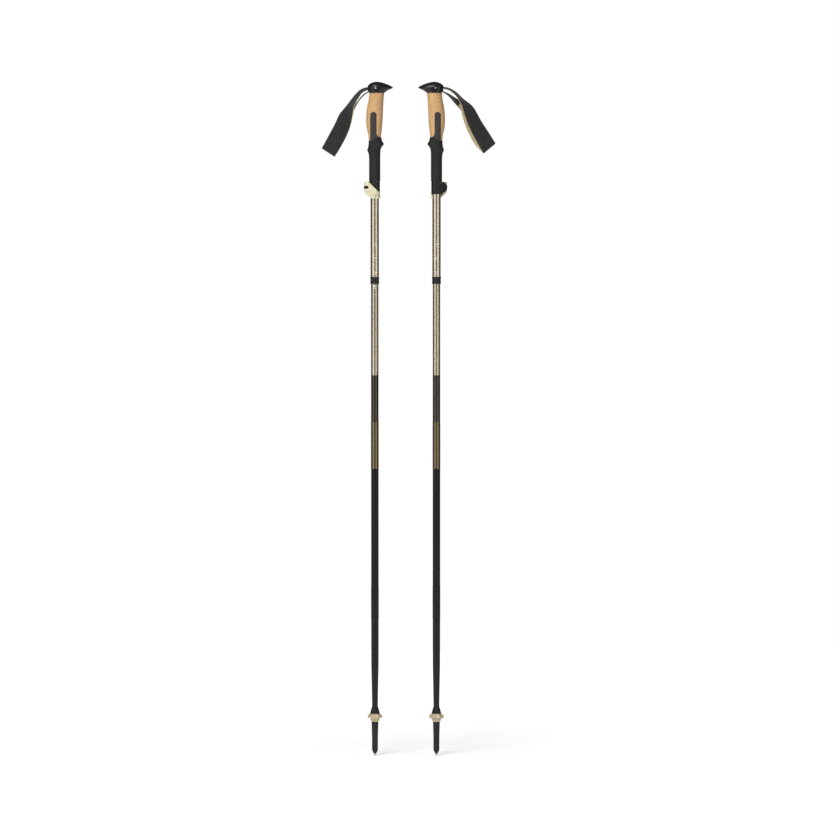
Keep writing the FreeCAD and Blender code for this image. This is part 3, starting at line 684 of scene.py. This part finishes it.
def tongue_rows(cork_low):
    """Heights up the tongue, closer together in its round end, with its two edges there."""
    radius = (TONGUE_RIGHT - TONGUE_LEFT) / 2
    middle = (TONGUE_LEFT + TONGUE_RIGHT) / 2
    flare_top = cork_low + 3.0 + TONGUE_FLARE
    bottom = cork_low - 3.0
    straight_top = TONGUE_TOP - radius
    rows = []
    for step in range(TONGUE_STEPS):
        height = bottom + (straight_top - bottom) * step / TONGUE_STEPS
        right = TONGUE_RIGHT
        if height < flare_top:
            drop = min(TONGUE_FLARE, flare_top - height)
            right += TONGUE_FLARE - sqrt(TONGUE_FLARE ** 2 - drop ** 2)
        rows.append((height, TONGUE_LEFT, right))
    for step in range(TONGUE_ROUND_STEPS + 1):
        angle = step / TONGUE_ROUND_STEPS * pi / 2
        half = max(0.02, radius * cos(angle))
        rows.append((straight_top + radius * sin(angle), middle - half, middle + half))
    return rows


def tongue(pole, face):
    """The foam's tongue on one face of the cork: a raised rim round a raised field."""
    cork_low, _ = pole.span("cork_grip")
    radius = (TONGUE_RIGHT - TONGUE_LEFT) / 2
    middle = (TONGUE_LEFT + TONGUE_RIGHT) / 2
    outer, inner = [], []
    for height, left, right in tongue_rows(cork_low):
        centre, half_length, half_width = slice_at(height - cork_low)
        for step in range(TONGUE_COLUMNS):
            share = sin((step / (TONGUE_COLUMNS - 1) - 0.5) * pi)
            x = (left + right) / 2 + (right - left) / 2 * share
            x = min(x, centre + half_length * 0.985)
            inset = min(x - left, right - x)
            if height > TONGUE_TOP - radius:
                inset = min(inset, radius - hypot(x - middle, height - TONGUE_TOP + radius))
            inset = max(0.0, inset)
            wall = sqrt(max(0.0, 1.0 - (1.0 - min(1.0, inset / 0.7)) ** 2))
            lift = -0.5 + 0.85 * wall - 0.22 * smoothstep(1.1, 1.7, inset)
            lift += 0.34 * smoothstep(1.9, 2.9, inset)
            base = half_width * sqrt(max(0.0, 1.0 - ((x - centre) / half_length) ** 2))
            outer.append((x, face * (base + lift), height))
            inner.append((x, face * max(0.5, base - 1.2), height))
    columns = TONGUE_COLUMNS
    rows = len(outer) // columns
    faces = []
    shift = len(outer)
    for row in range(rows - 1):
        for column in range(columns - 1):
            a = row * columns + column
            quad = (a, a + 1, a + columns + 1, a + columns)
            faces.append(quad)
            faces.append(tuple(shift + index for index in quad[::-1]))
    edge = [(0, column) for column in range(columns)]
    edge += [(row, columns - 1) for row in range(1, rows)]
    edge += [(rows - 1, column) for column in range(columns - 2, -1, -1)]
    edge += [(row, 0) for row in range(rows - 2, 0, -1)]
    loop = [row * columns + column for row, column in edge]
    for a, b in zip(loop, loop[1:] + loop[:1]):
        faces.append((b, a, shift + a, shift + b))
    if face > 0:
        faces = [quad[::-1] for quad in faces]
    word = "foam_tongue_front" if face < 0 else "foam_tongue_back"
    piece = pole.solid(word, outer + inner, faces, "tongue", 50.0)
    pole.fit(piece, "black_foam", "grip")


# over the head's lower face: height, front, back, half width, front pointedness, widest place
HEAD_LEVELS = (
    (0.0, 17.2, -10.3, 13.4, 0.50, 0.50),
    (1.0, 18.6, -11.0, 14.0, 0.51, 0.48),
    (2.6, 20.8, -11.8, 14.4, 0.53, 0.45),
    (4.5, 23.6, -12.5, 14.7, 0.56, 0.42),
    (6.4, 27.3, -12.9, 14.9, 0.61, 0.39),
    (8.2, 31.6, -13.2, 15.0, 0.67, 0.37),
    (9.4, 33.5, -13.3, 15.0, 0.70, 0.36),
    (10.3, 33.8, -13.3, 14.95, 0.71, 0.36),
    (11.5, 32.6, -13.1, 14.8, 0.70, 0.36),
    (13.3, 29.6, -12.5, 14.3, 0.68, 0.37),
    (15.2, 25.6, -11.2, 13.4, 0.64, 0.38),
    (17.0, 21.0, -9.0, 12.0, 0.60, 0.40),
    (18.6, 16.2, -6.0, 9.9, 0.57, 0.42),
    (19.9, 11.4, -2.6, 7.0, 0.54, 0.45),
    (20.7, 7.4, 0.6, 3.8, 0.52, 0.48),
    (20.97, 4.6, 3.4, 0.6, 0.50, 0.50),
)


def head_ring(level, bottom):
    """One level's ring: an oval that runs out to the beak in front."""
    height, front, back, half_width, point, widest = level
    middle = back + (front - back) * widest
    ring = []
    for angle in turns(RING):
        c, s = cos(angle), sin(angle)
        x = middle + (front - middle) * c if c > 0 else middle + (middle - back) * c
        power = 2 * point if c > 0 else 0.92
        y = half_width * copysign(abs(s) ** power, s)
        ring.append((x, y, bottom + height))
    return ring


# the strap's slot in the head, and the pit round each end of its pin
SLOT_BACK, SLOT_FRONT, SLOT_HALF, SLOT_ROOM = -30.0, -6.0, 8.4, 0.6
PIN_X = 2.0
PIT_RADIUS, PIT_FLOOR, PIT_END = 2.4, 13.4, 20.0
ROUND = 40


def carve(piece, cutters):
    """Cuts other objects out of a piece and removes them."""
    for cutter in cutters:
        cut = piece.modifiers.new("cut", "BOOLEAN")
        cut.operation = "DIFFERENCE"
        cut.solver = "EXACT"
        cut.object = cutter
    shown = piece.evaluated_get(bpy.context.evaluated_depsgraph_get())
    mesh = bpy.data.meshes.new_from_object(shown)
    mesh.name = piece.name
    piece.modifiers.clear()
    piece.data = mesh
    for cutter in cutters:
        bpy.data.objects.remove(cutter)


def slot_cutter(pole):
    """A box over the strap's anchor that runs out of the head's back."""
    bottom, top = pole.span("strap_anchor")
    corners = ((SLOT_BACK, -SLOT_HALF), (SLOT_FRONT, -SLOT_HALF), (SLOT_FRONT, SLOT_HALF),
               (SLOT_BACK, SLOT_HALF))
    rings = [[(x, y, z) for x, y in corners] for z in (bottom - SLOT_ROOM, top + SLOT_ROOM)]
    return pole.solid("slot_cutter", *skin(rings), "black_plastic")


def rings_y(profile, x, z, way=1.0):
    """Rings of a turned outline along Y, given as radius and Y pairs."""
    return [
        [(x + r * cos(a), y, z - way * r * sin(a)) for a in turns(ROUND)]
        for r, y in profile
    ]


def grip_head(pole):
    """The beaked head, with the strap's slot at its back and a pit round each pin end."""
    _, plug_top = pole.span("grip_tube")
    rings = [head_ring(level, plug_top) for level in smooth_rows(HEAD_LEVELS, 4)]
    piece = pole.solid("head", *skin(rings), "black_plastic")
    pin_height = sum(pole.span("strap_pin")) / 2
    cutters = [slot_cutter(pole)]
    for start, end in ((-PIT_END, -PIT_FLOOR), (PIT_FLOOR, PIT_END)):
        pit = rings_y([(PIT_RADIUS, start), (PIT_RADIUS, end)], PIN_X, pin_height)
        cutters.append(pole.solid("pit_cutter", *skin(pit), "black_plastic"))
    carve(piece, cutters)
    piece.data.set_sharp_from_angle(angle=radians(35.0))
    pole.fit(piece, "black_plastic", "grip", "grip_head")


# ---------------------------------------------------------------- the strap

# Sections down each band, seen from the side that faces the camera: the outer edge's x and z,
# the inner edge's x and z, and the band's true width. A section that is seen narrower than its
# width is twisted out of the picture's plane.
FRONT_BANDS = {
    "left": (
        (-6.0, 1239.0, -6.0, 1235.8, 15.0),
        (-10.5, 1239.5, -10.2, 1235.0, 15.0),
        (-14.9, 1239.4, -13.8, 1234.3, 15.4),
        (-20.4, 1238.1, -19.0, 1232.1, 15.6),
        (-27.6, 1234.5, -24.2, 1228.4, 15.6),
        (-35.9, 1226.4, -29.9, 1221.2, 16.0),
        (-42.1, 1218.6, -34.9, 1213.2, 16.8),
        (-49.9, 1208.5, -39.0, 1203.4, 18.8),
        (-57.6, 1199.1, -40.6, 1193.0, 22.0),
        (-63.9, 1191.6, -42.0, 1183.8, 25.4),
        (-68.3, 1183.0, -44.2, 1172.6, 27.6),
        (-73.4, 1172.0, -48.0, 1160.0, 28.8),
    ),
    "right": (
        (-6.0, 1239.0, -6.0, 1237.0, 15.0),
        (-10.5, 1239.8, -10.3, 1237.2, 15.0),
        (-15.7, 1240.0, -15.0, 1237.2, 15.4),
        (-24.2, 1237.9, -23.0, 1235.1, 15.6),
        (-32.0, 1234.0, -29.8, 1230.8, 15.6),
        (-39.8, 1227.9, -36.8, 1224.2, 16.0),
        (-47.5, 1220.1, -42.6, 1216.0, 17.0),
        (-55.3, 1213.9, -46.4, 1208.6, 19.0),
        (-63.1, 1208.2, -48.9, 1200.6, 22.0),
        (-69.5, 1201.0, -51.3, 1191.6, 25.0),
        (-74.4, 1192.4, -54.6, 1181.0, 27.0),
        (-83.3, 1176.6, -61.5, 1163.8, 28.4),
    ),
}
BACK_BANDS = {
    "left": (
        (-6.0, 1233.3, -6.0, 1232.5, 15.0),
        (-10.5, 1232.6, -10.3, 1231.6, 15.0),
        (-14.9, 1230.2, -14.2, 1229.0, 15.4),
        (-20.4, 1226.5, -19.4, 1225.2, 15.6),
        (-25.2, 1221.9, -24.1, 1220.8, 15.6),
        (-30.7, 1214.9, -29.5, 1213.9, 16.0),
        (-36.0, 1207.4, -34.2, 1205.9, 17.0),
        (-44.5, 1203.0, -38.0, 1197.4, 19.0),
        (-54.5, 1199.0, -40.0, 1190.4, 22.0),
        (-62.6, 1191.4, -42.0, 1182.6, 25.4),
        (-67.8, 1183.0, -44.4, 1172.4, 27.6),
        (-73.2, 1172.0, -48.2, 1160.0, 28.8),
    ),
    "right": (
        (-6.0, 1233.3, -6.0, 1232.3, 15.0),
        (-10.5, 1232.6, -10.3, 1231.4, 15.0),
        (-14.9, 1230.9, -14.2, 1229.2, 15.4),
        (-21.1, 1228.7, -20.0, 1225.4, 15.6),
        (-28.9, 1224.0, -26.6, 1218.9, 15.6),
        (-36.6, 1219.2, -32.6, 1211.8, 16.0),
        (-46.0, 1213.4, -38.8, 1204.4, 17.4),
        (-57.0, 1208.0, -44.8, 1197.4, 19.6),
        (-66.0, 1201.4, -49.0, 1190.0, 22.8),
        (-71.8, 1194.0, -52.6, 1182.6, 25.4),
        (-76.0, 1186.4, -56.4, 1174.4, 27.0),
        (-83.9, 1174.8, -62.4, 1161.2, 28.4),
    ),
}
# the last sections, where a strap's two bands lie on each other
BAND_ENDS = {
    "left": (
        (-80.8, 1158.0, -54.8, 1144.6, 29.4),
        (-89.0, 1143.2, -63.2, 1129.2, 29.5),
        (-96.3, 1129.8, -72.4, 1114.2, 29.5),
    ),
    "right": (
        (-94.2, 1159.5, -70.5, 1146.0, 29.2),
        (-101.5, 1148.1, -78.0, 1132.5, 29.5),
        (-107.4, 1138.6, -85.2, 1120.2, 29.5),
    ),
}
# how far the front band's lining shows past its webbing, at each section: outer, inner edge
LINING_PEEKS = {
    "left": (
        (0.0, 0.0), (0.0, 0.0), (0.0, 0.0), (0.0, 0.0), (0.0, 0.0), (0.1, 0.1), (0.4, 0.3),
        (0.8, 1.4), (0.9, 1.8), (0.8, 0.9), (0.7, 0.4), (0.6, 0.3), (0.4, 0.3), (0.3, 0.3),
        (0.1, 0.1),
    ),
    "right": (
        (0.0, 0.0), (0.0, 0.2), (0.0, 0.8), (0.0, 1.6), (0.0, 1.9), (0.0, 1.5), (0.0, 2.0),
        (0.0, 3.4), (0.0, 4.4), (0.0, 5.2), (0.0, 5.8), (0.0, 6.3), (0.0, 6.2), (0.0, 4.6),
        (0.0, 0.5),
    ),
}
BAND_STEPS = 8
BAND_GAP = 2.3
BAND_CORNERS = 30
WEBBING_THICK, PADDED_THICK = 1.5, 2.1
LINING_TOP, LINING_THICK = -0.35, 1.0
PAD_FROM = 6
BEND_STEPS = 10


class Section:
    """A section of a band: its middle, its way across, its way out of the loop and its sizes."""

    def __init__(self, outer, inner, pad):
        self.middle = (outer + inner) / 2
        self.across = (outer - inner).normalized()
        self.width = (outer - inner).length
        self.thick = WEBBING_THICK + (PADDED_THICK - WEBBING_THICK) * pad
        self.pad = pad
        self.along = None
        self.out = None
        self.peek = (0.0, 0.0)


def band_sections(rows, facing, layer, peeks=None):
    """Dense sections of one band. Facing is the camera's side of Y and layer is 1 for the band
    on that side, -1 for the one behind it."""
    sections = []
    dense = smooth_rows(rows, BAND_STEPS)
    dense_peeks = smooth_rows(peeks, BAND_STEPS) if peeks else None
    for index, (outer_x, outer_z, inner_x, inner_z, width) in enumerate(dense):
        seen = hypot(outer_x - inner_x, outer_z - inner_z)
        lean = sqrt(max(0.0, width * width - seen * seen)) / 2
        pad = smoothstep((PAD_FROM - 2) * BAND_STEPS, (PAD_FROM + 2) * BAND_STEPS, index)
        depth = facing * layer * BAND_GAP * smoothstep(3 * BAND_STEPS, 8 * BAND_STEPS, index)
        section = Section(
            Vector((outer_x, depth - facing * lean, outer_z)),
            Vector((inner_x, depth + facing * lean, inner_z)),
            pad,
        )
        if dense_peeks:
            section.peek = tuple(max(0.0, part) for part in dense_peeks[index])
        sections.append(section)
    for index, section in enumerate(sections):
        before, after = sections[max(0, index - 1)], sections[min(len(sections) - 1, index + 1)]
        section.along = (after.middle - before.middle).normalized()
        section.out = section.across.cross(section.along).normalized() * -facing * layer
    return sections


def strap_sections(side):
    """The whole loop: down the front band, round the bottom and up the back band."""
    facing = -1.0 if side == "left" else 1.0
    ends = BAND_ENDS[side]
    front = band_sections(FRONT_BANDS[side] + ends, facing, 1.0, LINING_PEEKS[side])
    back = band_sections(BACK_BANDS[side] + ends, facing, -1.0)
    last, first = front[-1], back[-1]
    centre = (last.middle + first.middle) / 2
    bend = []
    for step in range(1, BEND_STEPS):
        angle = pi * step / BEND_STEPS
        way = last.out * cos(angle) + last.along * sin(angle)
        half = last.across * last.width / 2
        place = centre + way * (last.middle - first.middle).length / 2
        section = Section(place + half, place - half, 1.0)
        section.out = way
        bend.append(section)
    return front + bend + back[::-1]


# where the strap bends as it leaves the head
STRAP_BEND = (-13.2, 0.0, 1234.6), (-21.5, 0.0, 1231.6)


def band(pole, word, sections, paint, top, bottom, spread=False):
    """A closed ribbon between two depths from each section's middle, in halves of its thickness.
    With spread they are millimetres, and the ribbon is wider by the lining's peeks."""
    rings, marks = [], []
    travelled = 0.0
    for index, section in enumerate(sections):
        if index:
            travelled += (section.middle - sections[index - 1].middle).length
        unit = 1.0 if spread else section.thick / 2
        high, low = unit * top, unit * bottom
        half = section.width / 2
        grow_out, grow_in = section.peek if spread else (0.0, 0.0)
        centre = section.middle + section.across * (grow_out - grow_in) / 2
        half += (grow_out + grow_in) / 2
        ring = []
        for step in range(BAND_CORNERS):
            angle = 2 * pi * (step + 0.5) / BAND_CORNERS
            c, s = cos(angle), sin(angle)
            u = half * copysign(abs(c) ** 0.3, c)
            v = (high + low) / 2 + (high - low) / 2 * copysign(abs(s) ** 0.5, s)
            ring.append(tuple(centre + section.across * u + section.out * v))
            marks.append((u * MM, travelled * MM))
        rings.append(ring)
    piece = pole.solid(word, *skin(rings), paint, 60.0, marks)
    pole.name("grip")
    pole.name("strap")
    pole.at(*STRAP_BEND[0])
    pole.at(*STRAP_BEND[1])
    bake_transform(piece)
    return piece


STITCH_PITCH, STITCH_LENGTH, STITCH_RADIUS = 3.0, 2.2, 0.21
STITCH_INSET = 2.3
# places along a stitch and its thickness there
STITCH_SHAPE = ((-0.5, 0.35), (-0.36, 0.9), (0.0, 1.0), (0.36, 0.9), (0.5, 0.35))


def thread_stitch(points, faces, middle, way, side, out):
    """Adds one raised stitch with its ends sunk into the cloth."""
    rings = []
    for along, size in STITCH_SHAPE:
        centre = middle + way * (STITCH_LENGTH * along)
        sink = out * (-0.5 * abs(along))
        rings.append([
            tuple(centre + (side * cos(a) + out * sin(a)) * STITCH_RADIUS * size + sink)
            for a in turns(8)
        ])
    add_shape(points, faces, *skin(rings))


def stitching(pole, sections):
    """Thread along both edges of the padded stretch, and across it where the padding starts."""
    points, faces = [], []
    travelled, due = 0.0, 0.0
    for before, section in zip(sections, sections[1:]):
        step = section.middle - before.middle
        travelled += step.length
        if section.pad < 0.98 or travelled < due:
            continue
        starts = before.pad < 0.98 or due == 0.0
        due = travelled + STITCH_PITCH
        way = step.normalized()
        top = section.middle + section.out * (section.thick / 2 + 0.02)
        for edge in (-1.0, 1.0):
            middle = top + section.across * edge * (section.width / 2 - STITCH_INSET)
            thread_stitch(points, faces, middle, way, section.across, section.out)
        if starts:
            half = section.width / 2 - STITCH_INSET
            count = int(2 * half / STITCH_PITCH)
            for number in range(1, count):
                middle = top + section.across * (-half + 2 * half * number / count)
                thread_stitch(points, faces, middle, section.across, way, section.out)
    marks = [(0.0, index * MM) for index in range(len(points))]
    piece = pole.solid("strap_stitching", points, faces, "thread", 60.0, marks)
    pole.fit(piece, "black_webbing", "strap")


def wrist_strap(pole):
    """A looped strap: webbing outside, a khaki lining inside and rows of stitches."""
    sections = strap_sections(pole.side)
    webbing = band(pole, "strap_webbing", sections, "black_webbing", 1.0, -1.0)
    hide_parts(pole.name("wrist_strap"))
    lined = [section for section in sections if section.pad > 0.04]
    if pole.side == "right":
        lined = sections[BAND_STEPS:-PAD_FROM * BAND_STEPS]
    band(pole, "strap_lining", lined, "khaki_lining", LINING_TOP, LINING_TOP - LINING_THICK, True)
    stitching(pole, sections)


# ---------------------------------------------------------------- basket

BASKET_SIDES = 144
BASKET_BORE = 5.95
PETALS = 6
LIP_BULGE = 0.28


def basket(pole):
    """A hub with a flange of soft drooping petals, and the thread's coarse ridge under it."""
    low, high = pole.span("basket")
    angles = turns(BASKET_SIDES)

    def flange(share, angle, under):
        """A point of the flange: share 0 at the hub, 1 at the petal's lip."""
        wave = cos(PETALS * angle)
        reach = 9.0 + share * (3.7 + 1.1 * wave)
        droop = 5.2 * share ** 2.2 + 1.5 * share * (0.5 - 0.5 * wave)
        droop += 0.8 * sin(3 * angle) * share
        thick = 2.6 - 1.2 * share
        z = high - 0.5 - droop - (thick if under else 0.0)
        return (reach * cos(angle), reach * sin(angle), z)

    foot = [(BASKET_BORE, low), (7.2, low), (7.7, low + 0.5), (7.9, low + 2.0)]
    rings = lathe(foot, BASKET_SIDES)
    for step in range(1, 9):
        share = step / 8
        radius = 7.9 + share + 0.55 * sin(share * pi * 2.5) ** 2
        rings += lathe([(radius, low + 2.0 + (high - low - 5.4) * share)], BASKET_SIDES)
    for step in range(0, 13):
        rings.append([flange(step / 12, a, True) for a in angles])
    for edge in (0.25, 0.75):
        ring = []
        for a in angles:
            under, over = Vector(flange(1.0, a, True)), Vector(flange(1.0, a, False))
            bulge = Vector((cos(a), sin(a), 0.0)) * LIP_BULGE
            ring.append(tuple(under.lerp(over, edge) + bulge))
        rings.append(ring)
    for step in range(12, -1, -1):
        rings.append([flange(step / 12, a, False) for a in angles])
    rings += lathe([(8.6, high - 0.1), (8.2, high), (BASKET_BORE, high)], BASKET_SIDES)
    piece = pole.solid("basket_shell", *sleeve(rings), "tan_plastic", 50.0)
    pole.fit(piece, "cream_plastic", "lower", "basket")


# ---------------------------------------------------------------- the tension cord

CORD_RADIUS = 1.9
CORD_TIP = 0.4
CORD_OVERLAP = 1.0
# how far the sliding shaft goes up as the pole folds
BEND_REACH = 4.0


def cord_piece(pole, word, bottom, top):
    """A length of braided cord up the shafts, divided more finely where it is short."""
    length = top - bottom
    steps = max(8, int(length / 0.6)) if length < 30 else int(length / 6)
    profile = [(CORD_TIP, bottom)]
    profile += [(CORD_RADIUS, bottom + length * step / steps) for step in range(steps + 1)]
    profile.append((CORD_TIP, top))
    rings = lathe(profile, 24)
    marks = [(atan2(y, x) * CORD_RADIUS * MM, z * MM) for ring in rings for x, y, z in ring]
    piece = pole.solid(word, *skin(rings), "cord_sheath", 60.0, marks)
    return piece


def tension_cord(pole):
    """The elastic cord, in a length for each shaft and a short one across each fold."""
    bottom, top = pole.span("tension_cord")
    upper_joint = (pole.span("fold_shaft")[0] + pole.span("mid_shaft")[1]) / 2
    lower_joint = (pole.span("mid_shaft")[0] + pole.span("lower_shaft")[1]) / 2
    guide = pole.span("shaft_guide")[1]
    lengths = (
        ("cord_lower", "lower", bottom, lower_joint - BEND_REACH),
        ("cord_mid", "mid", lower_joint + BEND_REACH, upper_joint - BEND_REACH),
        ("cord_fold", "fold", upper_joint + BEND_REACH, guide),
        ("cord_upper", "upper", guide, top),
    )
    for word, body, low, high in lengths:
        piece = cord_piece(pole, word, low - CORD_OVERLAP, high + CORD_OVERLAP)
        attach(piece, pole.name(body))
        if body == "upper":
            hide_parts(pole.name("tension_cord"))
            pole.name("upper_fold")
            pole.at(0.0, 0.0, high + CORD_OVERLAP)
            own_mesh(piece)
    for word, joint, above, below in (
        ("cord_upper_bend", upper_joint, "fold", "mid"),
        ("cord_lower_bend", lower_joint, "mid", "lower"),
    ):
        piece = cord_piece(pole, word, joint - BEND_REACH, joint + BEND_REACH)
        pole.name(above)
        pole.name(below)
        pole.at(0.0, 0.0, joint + BEND_REACH)
        pole.at(0.0, 0.0, joint - BEND_REACH)
        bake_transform(piece)


# ---------------------------------------------------------------- marks on the upper tube

MARK_PROUD = 0.06
MARK_THICK = 0.12
LENGTH_MARKS = (("130", 893.0), ("125", 919.0), ("120", 945.0))
DIGIT_HEIGHT = 5.0
# how often, and down to what length of edge, flat digits are divided to lie round the tube
DIGIT_CUTS, DIGIT_EDGE = 3, 0.9
TICKS, TICK_STEP, TICK_THICK = 13, 5.2, 0.5
TICK_START, TICK_LONG, TICK_SHORT = 3.4, 3.4, 1.9


def wrap_on_tube(pole, word, flat_points, faces, radius):
    """A flat figure, its x round the tube and its z up it, laid on a tube as thin print."""
    outer, inner = [], []
    facing = -1.0 if pole.side == "left" else 1.0
    for x, z in flat_points:
        angle = x / radius
        for ring, size in ((outer, radius + MARK_PROUD), (inner, radius - MARK_THICK)):
            ring.append((-facing * size * sin(angle), facing * size * cos(angle), z))
    shift = len(outer)
    edges = {}
    for face in faces:
        edges.update(dict.fromkeys(zip(face, face[1:] + face[:1])))
    walls = [(b, a, a + shift, b + shift) for a, b in edges if (b, a) not in edges]
    under = [tuple(index + shift for index in face[::-1]) for face in faces]
    piece = pole.solid(word, outer + inner, [*faces, *under, *walls], "print", 30.0)
    pole.fit(piece, "black_plastic", "upper")


def digits(text, start):
    """Flat outlines of a number that reads up the tube: its points and faces."""
    curve = bpy.data.curves.new("digits", "FONT")
    curve.body = text
    curve.size = DIGIT_HEIGHT
    curve.resolution_u = 3
    thing = bpy.data.objects.new("digits", curve)
    mesh = bpy.data.meshes.new_from_object(thing)
    fine = bmesh.new()
    fine.from_mesh(mesh)
    bmesh.ops.triangulate(fine, faces=fine.faces)
    for _ in range(DIGIT_CUTS):
        long_edges = [edge for edge in fine.edges if edge.calc_length() > DIGIT_EDGE]
        bmesh.ops.subdivide_edges(fine, edges=long_edges, cuts=1)
        bmesh.ops.triangulate(fine, faces=fine.faces)
    fine.verts.index_update()
    middle = DIGIT_HEIGHT * 0.36
    points = [(middle - vertex.co.y, start + vertex.co.x) for vertex in fine.verts]
    faces = [tuple(vertex.index for vertex in face.verts) for face in fine.faces]
    fine.free()
    bpy.data.objects.remove(thing)
    bpy.data.meshes.remove(mesh)
    return points, faces


def length_marks(pole):
    """A generic scale of lengths: numbers up the tube and short ticks beside them."""
    points, faces = [], []
    for text, start in LENGTH_MARKS:
        add_shape(points, faces, *digits(text, start))
    for number in range(TICKS):
        height = LENGTH_MARKS[0][1] - 1.2 + number * TICK_STEP
        reach = TICK_LONG if number % 5 == 0 else TICK_SHORT
        tick = []
        for column in range(5):
            across = TICK_START + reach * column / 4
            tick += [(across, height), (across, height + TICK_THICK)]
        add_shape(points, faces, tick, [(a, a + 2, a + 3, a + 1) for a in range(0, 8, 2)])
    wrap_on_tube(pole, "length_marks", points, faces, pole.radius("upper_tube"))


# ---------------------------------------------------------------- the snap button


# the dome's height, its smallest ring, and the share of it left when it has ducked
BUTTON_DOME, BUTTON_TIP, BUTTON_KEEP = 1.3, 0.05, 0.3


def push_button(pole):
    """The domed button, built standing out of the shaft it ducks into when the tube slides over it.
    """
    low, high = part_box(pole.name("push_button"))
    middle_z = (low.z + high.z) / 2 / MM
    radius = (high.z - low.z) / 2 / MM
    ends = [(corner - pole.foot).y * pole.turn / MM for corner in (low, high)]
    inner, outer = sorted(ends, key=abs)
    way = copysign(1.0, outer)
    rim = outer - way * BUTTON_DOME
    profile = [(BUTTON_TIP, inner), (radius, inner), (radius, rim)]
    for step in range(1, 9):
        angle = pi / 2 * step / 8
        size = max(BUTTON_TIP, radius * cos(angle) ** 0.8)
        profile.append((size, rim + way * BUTTON_DOME * sin(angle)))
    rings = rings_y(profile, 0.0, middle_z, way)
    piece = pole.solid("button_dome", *skin(rings), "bright_steel", 40.0)
    pole.fit(piece, "bright_steel", "button", "push_button")
    pole.name("upper_fold")
    pole.at(0.0, inner, middle_z)
    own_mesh(piece)


# ---------------------------------------------------------------- CAD nodes and assembly

NODE_PAINTS = {
    # the strap pin's paint is pale for a painted highlight on its end
    "strap_pin": "pin_steel_painted_highlight", "strap_anchor": "clamp_plastic", "grip_tube": "champagne_tube",
    "clamp_body": "clamp_plastic", "clamp_screw": "dark_steel", "clamp_barrel": "tip_plastic",
    "clamp_lever": "cream_plastic", "upper_tube": "champagne_tube", "cord_anchor": "tip_plastic",
    "tube_collar": "clamp_plastic", "tension_cord": "cord_sheath", "fold_shaft": "banded_shaft",
    "shaft_guide": "tip_plastic", "push_button": "bright_steel", "button_spring": "bright_steel",
    "upper_spigot": "tip_plastic", "mid_ferrule": "bronze_tube", "mid_shaft": "black_shaft",
    "lower_spigot": "tip_plastic", "lower_ferrule": "black_shaft", "lower_shaft": "black_shaft",
    "cord_stopper": "tip_plastic", "tip_body": "tip_plastic", "tip_point": "carbide",
}


BEVELS = {"clamp_lever": 0.45, "clamp_body": 0.4, "tube_collar": 0.4, "tip_body": 0.3}


def paint_nodes(pole):
    """Paints the CAD nodes and softens their sharpest edges."""
    for word, paint in NODE_PAINTS.items():
        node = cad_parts[pole.name(word)]
        node.data.materials.clear()
        node.data.materials.append(pole.paints[paint])
    for word, width in BEVELS.items():
        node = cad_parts[pole.name(word)]
        edge = node.modifiers.new("soft_edges", "BEVEL")
        edge.width = width * MM
        edge.segments = 3
        edge.limit_method = "ANGLE"
        edge.angle_limit = radians(50.0)


camera()
studio()
floor()
PAINTS = paints()
for name in SIDES:
    current = Pole(name, PAINTS)
    paint_nodes(current)
    cork_grip(current)
    foam_handle(current)
    for face_sign in (-1.0, 1.0):
        tongue(current, face_sign)
    for dress in (grip_head, wrist_strap, basket, tension_cord, length_marks, push_button):
        dress(current)
